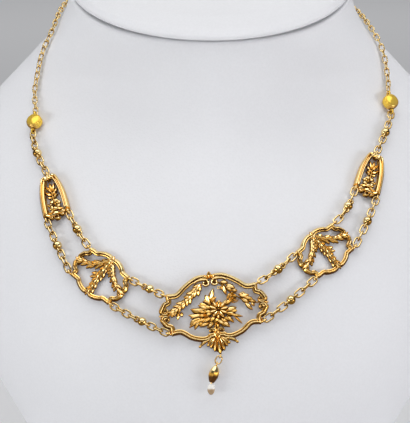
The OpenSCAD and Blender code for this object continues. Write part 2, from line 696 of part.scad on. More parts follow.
module back_chain(start, route, finish, links) {
    p = concat([start], route_points(route), [finish]);
    run = run_length(p);
    span = (run[len(run) - 1] - 2 * fine_reach) / links;
    color(PALE_GOLD)
        for (i = [0:links - 1])
            at_frame(chain_frame(
                point_along(p, run, fine_reach + i * span),
                point_along(p, run, fine_reach + (i + 1) * span),
                i % 2 == 0 ? FLAT : UPRIGHT
            ))
                link(span + 2 * fine_wire + play, fine_width, fine_wire);
}
module back_chain_left() {
    finish = in_frame(clasp_at, [clasp_eye, 0, 0]);
    back_chain(button_ring(left_button, BUTTON_LEFT_TURNS[0]), BACK_ROUTE_LEFT, finish, fine_links_left);
}
module back_chain_right() {
    finish = in_frame(clasp_at, [-clasp_eye, 0, 0]);
    back_chain(button_ring(right_button, BUTTON_RIGHT_TURNS[0]), BACK_ROUTE_RIGHT, finish, fine_links_right);
}

module clasp() {
    color(PALE_GOLD)
        at_frame(clasp_at) {
            translate([-clasp_l / 2, 0, 0])
                rotate([0, 90, 0])
                    cylinder(h = clasp_l, d = clasp_d, $fn = 32);
            for (side = [-1, 1])
                translate([side * clasp_eye, 0, 0])
                    rotate([-side * FLAT, side * clasp_droop, 0])
                        wire_ring(eyelet_r, wire);
        }
}

// The drop: a jump ring, a ridged cap and a pearl on the cap's peg, all lying on the chest
drop = seat_frame(DROP_SEAT);
drop_wire = 0.45;
drop_eye_r = 0.62;
drop_ring_width = 2.4;
cap_w = 3.3;
drop_height = cap_w / 2 + 0.1;
peg_d = 0.6;
peg_l = 1.6;
// Gaps between the cap and the pearl, and round the peg in the pearl's hole
pearl_gap = 0.25;
peg_gap = 0.15;

upper = eye_at(center, DROP_EYE);
lower = in_frame(drop, [0, 0, drop_height]);
// Direction of the jump ring in a plane
function drop_ring_turn(f) = atan2((lower - upper) * f[2], (lower - upper) * f[1]);
module drop_ring() {
    color(PALE_GOLD)
        at_frame(chain_frame(upper, lower, 0))
            link(norm(upper - lower) - 2 * drop_eye_r + 3 * drop_wire + 2 * play, drop_ring_width, drop_wire);
}
// The pearl hangs straighter than the cap, on a peg set askew in the cap's end
pearl_turn = 14;
module along_pearl() {
    translate([0, -drop_eye_r - cap_l, drop_height])
        rotate(pearl_turn)
            rotate([90, 0, 0])
                children();
}

module drop_cap() {
    color(GOLD)
        at_frame(drop) {
            translate([0, 0, drop_height])
                rotate([0, 90, 0])
                    wire_ring(drop_eye_r, drop_wire);
            translate([0, -drop_eye_r, drop_height])
                rotate([90, 22.5, 0])
                    hull() {
                        cylinder(h = 0.1, d = 0.8, $fn = 8);
                        translate([0, 0, cap_l * 0.4])
                            cylinder(h = cap_l * 0.2, d = cap_w, $fn = 8);
                        translate([0, 0, cap_l - 0.1])
                            cylinder(h = 0.1, d = cap_w * 0.55, $fn = 8);
                    }
            along_pearl()
                translate([0, 0, -peg_l / 2])
                    cylinder(h = 1.5 * peg_l, d = peg_d, $fn = 24);
        }
}
module pearl() {
    half = pearl_l / 2;
    color(CREAM)
        at_frame(drop)
            along_pearl()
                difference() {
                    translate([0, 0, pearl_gap])
                        rotate_extrude($fn = 48)
                            polygon([for (i = [0:16]) let (a = i * 180 / 16, full = 0.93 + 0.07 * cos(a))
                                [pearl_d / 2 * full * sin(a), half * (1 - cos(a))]]);
                    translate([0, 0, -0.1])
                        cylinder(h = peg_l + 0.2, d = peg_d + 2 * peg_gap, $fn = 24);
                }
}

// The bust: a rounded foot, rings of the skin, and a neck that the rim cuts on the slope
function skin_ring(z) = [for (j = [0:bust_sides - 1]) skin(j * 360 / bust_sides, z)];
// A ring near the floor, drawn in from the skin round the foot's edge
function foot_ring(a) = [
    for (p = skin_ring(foot_round))
        let (d = unit([p.x, p.y - bust_middle(foot_round), 0]))
        [p.x, p.y, foot_round * (1 - cos(a))] - foot_round * (1 - sin(a)) * d
];
// A ring of the neck, a share of the way from the last level ring to the rim
function neck_ring(t) = [
    for (j = [0:bust_sides - 1])
        let (
            a = j * 360 / bust_sides,
            top = rim_z(skin(a, rim_height).y) - seam,
            level = BUST_RINGS[len(BUST_RINGS) - 1]
        )
        skin(a, mix(level, top, t))
];

module bust() {
    color(WHITE)
        loft(reversed(concat(
            [for (a = [0, 35, 65]) foot_ring(a)],
            [for (z = BUST_RINGS) skin_ring(z)],
            [for (t = [0.35, 0.7, 1]) neck_ring(t)]
        )));
}

// Rows of the padded cap: share of its reach, share of its rise
CAP = [[0.965, 0], [0.995, 0.08], [1, 0.2], [0.96, 0.42], [0.82, 0.72], [0.55, 0.9], [0.2, 1]];
cap_reach = 51.9;

module neck_cap() {
    color(WHITE)
        loft([
            for (c = reversed(CAP))
                [for (j = [0:bust_sides - 1])
                    let (a = j * 360 / bust_sides, y = cap_reach * c[0] * sin(a))
                    [cap_reach * c[0] * cos(a), y, rim_z(y) + cap_rise * c[1]]]
        ]);
}

bust();
neck_cap();
center_plaque();
mid_plaque_left();
mid_plaque_right();
upper_plaque_left();
upper_plaque_right();
button_left();
button_right();
back_chain_left();
back_chain_right();
clasp();
shoulder_links_left();
shoulder_ball_left();
shoulder_links_right();
shoulder_ball_right();
inner_links_left();
inner_ball_left();
inner_links_right();
inner_ball_right();
outer_links_left();
outer_ball_left();
outer_links_right();
outer_ball_right();
top_links_left();
top_ball_left();
top_links_right();
top_ball_right();
low_links_left();
low_ball_left();
low_links_right();
low_ball_right();
drop_ring();
drop_cap();
pearl();
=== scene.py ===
import json
import math

import bmesh
import bpy
import numpy as np
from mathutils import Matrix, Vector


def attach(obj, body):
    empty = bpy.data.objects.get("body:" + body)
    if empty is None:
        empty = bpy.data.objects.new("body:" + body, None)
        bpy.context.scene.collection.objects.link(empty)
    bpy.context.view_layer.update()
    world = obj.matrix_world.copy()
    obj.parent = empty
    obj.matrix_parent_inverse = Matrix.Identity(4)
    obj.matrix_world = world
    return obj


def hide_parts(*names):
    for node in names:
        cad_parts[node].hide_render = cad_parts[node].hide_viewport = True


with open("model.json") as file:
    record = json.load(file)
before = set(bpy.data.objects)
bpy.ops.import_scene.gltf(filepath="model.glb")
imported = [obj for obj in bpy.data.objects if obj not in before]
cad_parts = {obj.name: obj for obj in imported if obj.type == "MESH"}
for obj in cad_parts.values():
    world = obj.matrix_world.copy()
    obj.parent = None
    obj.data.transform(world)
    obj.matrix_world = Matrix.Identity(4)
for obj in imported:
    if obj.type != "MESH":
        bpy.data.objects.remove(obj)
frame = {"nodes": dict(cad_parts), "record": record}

bl_info = {
    "name": "Draped necklace",
    "version": (1, 0, 0),
    "blender": (4, 5, 0),
    "location": "3D View > Sidebar > Necklace",
    "description": "Festoon necklace of openwork plaques and fine chains, draped on a neck bust",
    "category": "Object",
}

MM = 0.001
SEED = 11

# Sections of the bust: height, half width, y of the front, y of the back, fullness of the throat
BUST = np.array([
    [0, 42, -66, 32, 0], [14, 44, -75, 35, 0], [32, 48, -84, 39, 0], [52, 56.5, -90, 44, 0],
    [72, 69, -93, 49, 0], [92, 80.5, -92.5, 53, 0], [112, 88.5, -88.5, 56, 0], [132, 92.5, -80.5, 58, 1],
    [150, 93, -67, 58, 4], [164, 91, -52, 57, 10], [176, 87, -38, 55, 17], [186, 80, -30, 53, 21.5],
    [195, 71.5, -31, 52, 19.5], [203, 64, -38, 51, 12], [211, 56.5, -46, 50.5, 4],
    [220, 52.2, -50, 50.5, 0], [230, 51.5, -51, 51, 0], [245, 51.5, -51, 51, 0],
])
THROAT_REACH = 34
RIM_HEIGHT = 227
RIM_SLOPE = math.tan(math.radians(17.5))
SEAM = 0.4
LIP = 1.2
NECK_FROM = 205
FOOT_ROUND = 3
CAP_RISE = 9
CAP_REACH = 51.9

# Seats on the skin: x, z, turn about the outward normal in degrees, lift off the skin
SEATS = {
    "center": (0.9, 125.8, 7.8, 0.4),
    "mid_left": (-36.9, 134.4, -30.5, 0.4),
    "mid_right": (38.2, 141.8, 31, 0.4),
    "upper_left": (-54.4, 156.9, 33, 0.55),
    "upper_right": (55.7, 163.3, -35, 0.55),
    "button_left": (-62.3, 177.6, 0, 0.85),
    "button_right": (64, 183.8, 0, 1),
    "drop": (1.85, 108.8, -16.5, 0.4),
}

# Eyelets of the plaques, and the chains that start and end in them
CENTER_HIGH = (15.85, 6.75)
CENTER_LOW = (15.8, -6.1)
MID = (9.7, 5.3)
UPPER_TOP = (0, 9.1)
UPPER_LOW = (4.15, -9.68)
DROP_EYE = (0, -15.6)
DROP_EYE_R = 0.62
DROP_WIRE = 0.45
DROP_LIFT = 1.75
EYE_R = 0.85
EYE_HEIGHT = 0.75
WIRE = 0.65
CHAIN_LIFT = 1.9
BALL_D = 2.6
# How much fuller the balls are than in the source, and the share of the back chains' faces that is kept
BALL_SWELL = 1.2
BACK_SHARE = 0.8
BUTTON_D = 5.6
BUTTON_H = 3
BUTTON_EYE = BUTTON_D / 2 + 0.95
BUTTON_TURNS = {"button_left": (112, -78), "button_right": (73, -104)}


def across(place):
    return (-place[0], place[1])


def below(place):
    return (place[0], -place[1])


def cos_sin(degrees):
    a = math.radians(degrees)
    return math.cos(a), math.sin(a)


def button_ring(turn):
    c, s = cos_sin(turn)
    return (BUTTON_EYE * c, BUTTON_EYE * s)


# First seat and eyelet, last seat and eyelet, slack, swing round the bust in degrees
STRETCHES = (
    ("button_left", button_ring(-78), "upper_left", UPPER_TOP, 1, -1.4),
    ("button_right", button_ring(-104), "upper_right", UPPER_TOP, 0.4, 2),
    ("upper_left", UPPER_LOW, "mid_left", across(MID), 1.6, 0),
    ("upper_right", across(UPPER_LOW), "mid_right", MID, 2, 0),
    ("upper_left", across(UPPER_LOW), "mid_left", across(below(MID)), 1, 0),
    ("upper_right", UPPER_LOW, "mid_right", below(MID), 1, 0),
    ("mid_left", MID, "center", across(CENTER_HIGH), 1, 0),
    ("mid_right", across(MID), "center", CENTER_HIGH, 1.5, 0),
    ("mid_left", below(MID), "center", across(CENTER_LOW), 1, 0),
    ("mid_right", across(below(MID)), "center", CENTER_LOW, 1, 0),
)


def unit(v):
    return v / np.linalg.norm(v, axis=-1, keepdims=True)


def bust_at(z, column):
    """The bust's sections joined by cubic pieces whose slopes come from the neighbouring rows."""
    z = np.asarray(z, float)
    rows = np.arange(len(BUST))
    a, b = np.maximum(rows - 1, 0), np.minimum(rows + 1, len(BUST) - 1)
    slope = (BUST[b, column] - BUST[a, column]) / (BUST[b, 0] - BUST[a, 0])
    i = np.clip(np.searchsorted(BUST[:, 0], z, side="right") - 1, 0, len(BUST) - 2)
    h = BUST[i + 1, 0] - BUST[i, 0]
    t = np.clip((z - BUST[i, 0]) / h, 0, 1)
    s = 1 - t
    return (s * s * (1 + 2 * t) * BUST[i, column] + t * t * (3 - 2 * t) * BUST[i + 1, column]
            + h * t * s * (s * slope[i] - t * slope[i + 1]))


def bust_middle(z):
    return (bust_at(z, 3) + bust_at(z, 2)) / 2


def bust_depth(x, z, forward):
    """Half the section's depth, and in front the throat's fullness, which falls off as a bell curve in x."""
    full = bust_at(z, 4) * np.exp(-(x / THROAT_REACH) ** 2)
    return (bust_at(z, 3) - bust_at(z, 2)) / 2 + np.where(forward, full, 0)


def skin(a, z):
    """The skin at an angle in degrees round the axis, 0 at +X and -90 in front, and a height: an ellipse."""
    a, z = np.broadcast_arrays(np.radians(a), np.asarray(z, float))
    x = bust_at(z, 1) * np.cos(a)
    y = bust_middle(z) + bust_depth(x, z, np.sin(a) < 0) * np.sin(a)
    return np.stack([x, y, z], -1)


def skin_normal(a, z, e=0.1):
    return unit(np.cross(skin(a + e, z) - skin(a - e, z), skin(a, z + e) - skin(a, z - e)))


def angle_at(p):
    y = p[1] - bust_middle(p[2])
    return math.degrees(math.atan2(y / bust_depth(p[0], p[2], y < 0), p[0] / bust_at(p[2], 1)))


def seat_axes(name):
    """Origin, right, up and outward directions of a seat, turned about the skin's normal."""
    x, z, turn, lift = SEATS[name]
    a = -math.degrees(math.acos(x / bust_at(z, 1)))
    n = skin_normal(a, z)
    r = unit(np.cross([0, 0, 1], n))
    u = np.cross(n, r)
    c, s = cos_sin(turn)
    return skin(a, z) + lift * n, r * c + u * s, u * c - r * s, n


def on_seat(name, points):
    o, r, u, n = seat_axes(name)
    points = np.asarray(points, float)
    return o + points[..., :1] * r + points[..., 1:2] * u + points[..., 2:] * n


def eyelets():
    """Each seat's eyelets as x, y and the direction there of the bent line that the chain follows."""
    found = {name: [] for name in SEATS}
    for seat_a, eye_a, seat_b, eye_b, slack, swing in STRETCHES:
        first = on_seat(seat_a, [*eye_a, EYE_HEIGHT])
        last = on_seat(seat_b, [*eye_b, EYE_HEIGHT])
        straight = (first + last) / 2
        low = straight - [0, 0, slack]
        a = angle_at(low) + swing
        bend = 2 * (skin(a, low[2]) + CHAIN_LIFT * skin_normal(a, low[2])) - straight
        t = np.linspace(0, 1, 41)[:, None]
        line = first * (1 - t) ** 2 + bend * 2 * t * (1 - t) + last * t ** 2
        for seat, eye, d in ((seat_a, eye_a, line[3] - line[0]), (seat_b, eye_b, line[-4] - line[-1])):
            _, r, u, _ = seat_axes(seat)
            found[seat].append((*eye, math.degrees(math.atan2(d @ u, d @ r))))
    return found


def curve(knots, steps):
    """A smooth curve through flat points: each span is the cubic that its four nearest points give."""
    k = np.asarray(knots, float)
    k = np.concatenate([k[:1], k, k[-1:]])
    t = np.linspace(0, 1, steps, endpoint=False)[None, :, None]
    a, b, c, d = (k[i:len(k) - 3 + i, None, :] for i in range(4))
    points = (2 * b + (c - a) * t + (2 * a - 5 * b + 4 * c - d) * t ** 2
              + (3 * b - a - 3 * c + d) * t ** 3) / 2
    return np.concatenate([points.reshape(-1, k.shape[1]), k[-1:]])


def scroll(middle, r_from, r_to, a_from, turn, steps):
    """A winding whose radius shrinks evenly as its angle runs on."""
    t = np.linspace(0, 1, steps + 1)
    a = np.radians(a_from + turn * t)
    return np.asarray(middle) + (r_from + (r_to - r_from) * t)[:, None] * np.stack([np.cos(a), np.sin(a)], -1)


def tube_faces(rows, ring):
    """Quads between a tube's neighbouring rings, and a fan from each end ring to its end point."""
    i, j = np.meshgrid(np.arange(rows - 1), np.arange(ring), indexing="ij")
    k = (j + 1) % ring
    quads = np.stack([i * ring + j, i * ring + k, (i + 1) * ring + k, (i + 1) * ring + j], -1).reshape(-1, 4)
    j = np.arange(ring)
    k = (j + 1) % ring
    last = (rows - 1) * ring
    fans = np.concatenate([
        np.stack([np.full(ring, rows * ring), k, j], -1),
        np.stack([np.full(ring, rows * ring + 1), last + j, last + k], -1),
    ])
    return quads, fans


def placed(name, data):
    thing = bpy.data.objects.new(name, data)
    bpy.context.scene.collection.objects.link(thing)
    return thing


def stand_in(name, mesh, finish, node, sharp):
    """Smooths a mesh up to a sharp angle, and makes it an object that rides on the body for its CAD node."""
    mesh.shade_smooth()
    mesh.set_sharp_from_angle(angle=math.radians(sharp))
    mesh.materials.clear()
    mesh.materials.append(finish)
    thing = placed(name, mesh)
    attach(thing, "root")
    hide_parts(node)
    return thing


class Work:
    """Closed forms gathered into one mesh. Each point has a tone, 0 in a recess, dark as patina and painted
    shade, and 1 on a high spot, pale as a painted highlight.
    """

    def __init__(self):
        self.points, self.relief, self.faces, self.count = [], [], [], 0

    def _add(self, points, relief, faces):
        self.points.append(points)
        self.relief.append(np.broadcast_to(relief, len(points)))
        self.faces += [f for group in faces for f in (group + self.count).tolist()]
        self.count += len(points)

    def tubes(self, rings, starts, ends, relief):
        """Rings of points as (forms, rows, ring, 3), with an end point before and after each form's rows.

        A form that is inside out, by the sign of the volume between its faces and the origin, is turned."""
        forms, rows, ring, _ = rings.shape
        quads, fans = tube_faces(rows, ring)
        body = rings.reshape(forms, -1, 3)
        points = np.concatenate([body, starts[:, None], ends[:, None]], 1)
        values = np.broadcast_to(relief, rings.shape[:3]).reshape(forms, -1)
        values = np.concatenate([values, values[:, :ring].mean(1, keepdims=True),
                                 values[:, -ring:].mean(1, keepdims=True)], 1)
        corners = np.concatenate([quads[:, [0, 1, 2]], quads[:, [0, 2, 3]], fans])
        p = points[:, corners] - points.mean(1)[:, None, None]
        volume = np.einsum("fti,fti->f", p[:, :, 0], np.cross(p[:, :, 1], p[:, :, 2]))
        for k in range(forms):
            turn = 1 if volume[k] > 0 else -1
            self._add(points[k], values[k], (quads[:, ::turn], fans[:, ::turn]))

    def mirrored(self):
        """The same work with left and right changed over, and its faces turned to point outwards again."""
        self.points = [p * [-1, 1, 1] for p in self.points]
        self.faces = [f[::-1] for f in self.faces]
        return self

    def piece(self, name, finish, node, seat=None, sharp=40):
        """Makes the object in its place. On a seat, each point's tone gains a scaled (normal . up along the
        skin): painted light where it faces up, painted shade where it faces down.
        """
        points = np.concatenate(self.points)
        relief = np.concatenate(self.relief)
        if seat:
            points = on_seat(seat, points)
        mesh = bpy.data.meshes.new(name)
        mesh.from_pydata((points * MM).tolist(), [], self.faces)
        if seat:
            out = seat_axes(seat)[3]
            normals = np.empty(points.shape, np.float32)
            mesh.vertex_normals.foreach_get("vector", normals.ravel())
            # Painted light and shade: lighter where the surface faces up along the skin, darker where it
            # faces down
            up = np.array([LEAN * SEATS[seat][0], 0, 1])
            relief = np.clip(relief + FACING_LIGHT * normals @ unit(up - up @ out * out), 0, 1)
        mesh.attributes.new("relief", "FLOAT", "POINT").data.foreach_set("value", relief.astype(np.float32))
        return stand_in(name, mesh, finish, node, sharp)

    def rail(self, path, profile, relief, thick=1.0):
        """A closed profile of (across, up) carried along a flat path, square to it, and scaled by thick."""
        t = unit(np.gradient(path, axis=0))
        scale = np.broadcast_to(thick, len(path))[:, None, None]
        side = np.stack([t[:, 1], -t[:, 0]], -1)
        flat = path[:, None] + side[:, None] * (profile[None, :, :1] * scale)
        rings = np.concatenate([flat, profile[None, :, 1:] * scale], -1)
        self.tubes(rings[None], rings[:1].mean(1), rings[-1:].mean(1), np.asarray(relief)[None, None])

    def beads(self, centres, radius, rise=1.0, relief=0.95):
        """Round beads as rings of latitude, their height scaled by rise."""
        c = np.atleast_2d(np.asarray(centres, float))
        rows, sides = 9, 14
        b = np.radians(np.linspace(-90, 90, rows)[1:-1, None])
        a = np.radians(np.linspace(0, 360, sides, endpoint=False)[None])
        ball = np.stack([np.cos(b) * np.cos(a), np.cos(b) * np.sin(a), rise * np.sin(b) + 0 * a], -1)
        r = np.broadcast_to(radius, len(c))
        rings = c[:, None, None] + ball[None] * r[:, None, None, None]
        pole = np.array([0, 0, rise]) * r[:, None]
        self.tubes(rings, c - pole, c + pole, relief)

    def rings(self, centres, turns, r, d, flat=False, relief=0.8):
        """Rings of round wire: a small circle carried round a large one, standing on edge or lying flat."""
        rows, ring = 32, 14
        a, b = np.meshgrid(np.linspace(0, 2 * np.pi, rows, endpoint=False),
                           np.linspace(0, 2 * np.pi, ring, endpoint=False), indexing="ij")
        out = r + d / 2 * np.cos(b)
        along, up, off = out * np.cos(a), out * np.sin(a), d / 2 * np.sin(b)
        if flat:
            up, off = off, up
        i, j = np.meshgrid(np.arange(rows), np.arange(ring), indexing="ij")
        i2, j2 = (i + 1) % rows, (j + 1) % ring
        quads = np.stack([i * ring + j, i2 * ring + j, i2 * ring + j2, i * ring + j2], -1).reshape(-1, 4)
        for (x, y, z), turn in zip(centres, turns):
            c, s = cos_sin(turn)
            points = np.stack([x + along * c - off * s, y + along * s + off * c, z + up], -1).reshape(-1, 3)
            self._add(points, relief, (quads if flat else quads[:, ::-1],))

    def eyelets(self, eyes):
        """Rings on edge for the chains, at x and y, turned the way the chain runs."""
        self.rings([(x, y, EYE_HEIGHT) for x, y, _ in eyes], [turn for _, _, turn in eyes], EYE_R, WIRE)

    def leaves(self, feet, tips, width, top=1.15, edge=0.6, low=0.2, bend=0.0, blunt=0.0, cup=0.0, groove=0.3,
               shine=0.85):
        """Leaves as grids along and across, each closed underneath.

        The half width is a power of sin(pi t^k), pointed, or blunt where k is larger.
        The top is a dome across, 1 - |v|^2.2, less a groove along the middle, and cup lifts its edges."""
        feet, tips = np.atleast_2d(np.asarray(feet, float)), np.atleast_2d(np.asarray(tips, float))
        width, top, bend, low, edge = (
            np.broadcast_to(value, len(feet))[:, None, None] for value in (width, top, bend, low, edge))
        d = tips - feet
        length = np.linalg.norm(d, axis=1)[:, None, None]
        along = unit(d)[:, None, None]
        aside = np.stack([-along[..., 1], along[..., 0]], -1)
        t = np.array([0.05, 0.16, 0.3, 0.45, 0.6, 0.74, 0.86, 0.95])[None, :, None]
        v = np.array([-1, -0.82, -0.5, -0.2, 0, 0.2, 0.5, 0.82, 1, 0.5, -0.5])[None, None]
        over = np.arange(11)[None, None] < 9
        half = width / 2 * np.sin(np.pi * t ** (0.8 + 0.7 * blunt)) ** (0.85 - 0.35 * blunt)
        dome = (1 - np.abs(v) ** 2.2) * (1 - groove * np.exp(-(v / 0.14) ** 2)) + cup * np.abs(v) ** 3
        crown = np.sin(np.pi * (0.1 + 0.82 * t)) ** 0.5
        z = np.where(over, edge + (top - edge) * crown * dome, low + 0 * crown)
        x = length * t + 0 * v + 0 * half
        y = v * half + bend * length * 4 * t * (1 - t)
        flat = feet[:, None, None] + along * x[..., None] + aside * y[..., None]
        rings = np.concatenate([flat, np.broadcast_to(z, x.shape)[..., None]], -1)
        middle = (edge[:, 0] + low[:, 0]) / 2
        # Painted highlight on each leaf's crown, fading to painted shade at its edges, groove and underside;
        # shine scales it
        lit = 1.3 * crown * (1 - np.abs(v) ** 2.4) * (1 - groove * np.exp(-(v / 0.14) ** 2)) - 0.05
        relief = np.where(over, shine * np.clip(lit * np.minimum(1, 0.4 + 2.5 * t), 0, 1), 0.0)
        self.tubes(rings, np.concatenate([feet, middle], 1), np.concatenate([tips, middle], 1), relief)

    def laurel(self, knots, nodes, length, width, rng, spread, hang=0.0):
        """Whorls of leaves along a stem, a little uneven, the middle ones on top of those at the sides."""
        path = curve(knots, 16)
        self.rail(path, HALF_ROUND * [0.5, 0.75], 0.35)
        t = unit(np.gradient(path, axis=0))
        at = np.round(np.linspace(0.03, 0.93, nodes) * (len(path) - 1)).astype(int)
        angle = np.degrees(np.arctan2(t[at, 1], t[at, 0]))
        for side, rise in ((-1, 0), (1, 0.08), (0, 0.32)):
            turn = np.radians(angle + side * spread + hang + rng.uniform(-7, 7, nodes))
            size = length * rng.uniform(0.88, 1.1, nodes) * (0.82 if side == 0 else 1)
            feet = path[at] - t[at] * 0.25 * rng.uniform(0, 1, (nodes, 1))
            tips = feet + size[:, None] * np.stack([np.cos(turn), np.sin(turn)], -1)
            wide = width * rng.uniform(0.9, 1.15, nodes)
            top = 1.3 + rise + rng.uniform(-0.05, 0.1, nodes)
            self.leaves(feet, tips, wide, top, 0.5 + rise, bend=-0.06 * side, blunt=0.35, groove=0.15)
        end = t[-1]
        self.leaves(path[-1:] - end * 0.5, path[-1:] + end * length * 0.85, width, 1.4, blunt=0.3)


# Profiles as across and up, for a width and height of 1, and the tone of their points: dark in grooves and on
# walls as patina and painted shade, pale on crests as a painted highlight
RAIL = np.array([
    [-0.5, 0], [0.5, 0], [0.5, 0.25], [0.48, 0.42], [0.4, 0.58], [0.26, 0.82], [0.17, 0.96], [0.11, 1],
    [0.05, 0.99], [0, 0.93], [-0.08, 0.78], [-0.16, 0.64], [-0.2, 0.59], [-0.24, 0.61], [-0.34, 0.66],
    [-0.42, 0.62], [-0.47, 0.5], [-0.5, 0.25],
])
RAIL_PATINA_LIGHT = [0, 0, 0, 0.25, 0.5, 0.55, 0.7, 1, 1, 0.5, 0.25, 0.15, 0, 0.4, 0.75, 0.6, 0.25, 0]
DEEP_RAIL = np.array([
    [-0.5, 0], [0.5, 0], [0.5, 0.45], [0.47, 0.74], [0.4, 0.88], [0.32, 0.98], [0.24, 1], [0.17, 0.94],
    [0.1, 0.78], [0.03, 0.68], [-0.04, 0.68], [-0.1, 0.76], [-0.17, 0.86], [-0.27, 0.88], [-0.36, 0.84],
    [-0.43, 0.7], [-0.47, 0.5], [-0.5, 0.2],
])
DEEP_PATINA_LIGHT = [0, 0, 0.2, 0.6, 0.9, 1, 1, 1, 1, 0.9, 0.9, 0.95, 1, 0.8, 0.3, 0, 0, 0]
HALF_ROUND = np.array([[-0.5, 0.2], [0.5, 0.2], [0.46, 0.6], [0.26, 0.9], [0, 1], [-0.26, 0.9], [-0.46, 0.6]])
PLAIN_PATINA_LIGHT = 1.15 * HALF_ROUND[:, 1] ** 1.5 - 0.1
# Painted light and shade: how much a casting's tone gains where it faces up and loses where it faces down,
# and how far "up" leans for each mm off the middle
FACING_LIGHT = 0.85
LEAN = -0.014


def flipped_rail(work, path, thick, size, from_end, flips, plain=False):
    """A rail mirrored by the two flips, run the way round that keeps its outer side out."""
    if from_end != (flips[0] * flips[1] < 0):
        path, thick = path[::-1], thick[::-1]
    if plain:
        work.rail(path * flips, HALF_ROUND * size, PLAIN_PATINA_LIGHT, thick)
    else:
        work.rail(path * flips, RAIL * size, RAIL_PATINA_LIGHT, thick)


def scrolled_rail(work, arc, middle, winding, size, least, from_scroll, flips, plain=False):
    """A rail that ends in a winding of (first radius, last radius, first angle, turn) over a dark eye: a bead
    painted dark as the shade in the scroll's hollow.
    """
    coil = scroll(middle, *winding, steps=26)
    thick = np.concatenate([np.ones(len(arc)), np.linspace(1, least, len(coil) + 1)[1:]])
    flipped_rail(work, np.concatenate([arc, coil]), thick, size, from_scroll, flips, plain)
    work.beads([[*(np.asarray(middle) * flips), 0.25 * size[1]]], 0.6 * winding[0], 0.4, 0)


def center_frame(work, forms):
    size = np.array([forms.rail_width, forms.rail_height]) / MM
    top = curve(
        [[14.9, 6.15], [11.7, 6.1], [8.9, 8.2], [6.5, 9.75], [4.3, 10.75], [2.4, 11.1], [0.5, 11]], 10)
    narrowing = np.interp(np.arange(len(top)), [0, 40, len(top) - 1], [1, 0.95, 0.55])
    hook = curve([[5.4, 9.4], [4.3, 9.95], [3.1, 10.15], [2.1, 10.1]], 6)
    side = curve([[14.5, 6.7], [14.5, 4.3], [16, 3.4], [17.2, 1.6]], 10)
    low = curve([[14.9, -6.15], [11.7, -6.05], [8.6, -8.2], [6.2, -9.15], [4.1, -9.45], [2.7, -9.1]], 10)
    for sx in (1, -1):
        flips = (sx, 1)
        flipped_rail(work, top, narrowing, size, False, flips)
        scrolled_rail(work, hook, [1.6, 8.9], (1.25, 0.6, 78, 320), size * [0.5, 0.95], 0.75, False, flips,
                      plain=True)
        scrolled_rail(work, low, [1.55, -7.25], (1.45, 0.6, -65, -300), size, 0.45, True, flips)
        for sy in (1, -1):
            scrolled_rail(work, side, [16.1, 1.4], (1.15, 0.55, 5, -290), size, 0.42, True, (sx, sy))


def ring_of(work, middle, count, inner, outer, width, first, **more):
    """Petals round a middle, from one radius out to another."""
    a = np.radians(first + np.arange(count) * 360 / count)
    d = np.stack([np.cos(a), np.sin(a)], -1)
    work.leaves(np.asarray(middle) + inner * d, np.asarray(middle) + outer * d, width, **more)


def bud(work, middle, r, turn, height):
    """A rosebud from the side: crescents of petal, one inside the next."""
    for k, share in enumerate((1, 0.7, 0.42, 0.18)):
        arc = scroll(middle, r * share, r * share * 0.9, turn - 150 + 25 * k, 300 - 30 * k, 18)
        taper = np.sin(np.linspace(0.25, np.pi - 0.25, len(arc))) ** 0.6
        work.rail(arc, HALF_ROUND * [0.27 * r, height + 0.1 * k], 1.5 * HALF_ROUND[:, 1] - 0.3, taper)
    # A dark bead in the bud's heart, painted shade
    work.beads([[*middle, 0.5 * height]], 0.5 * r, 0.4, 0)


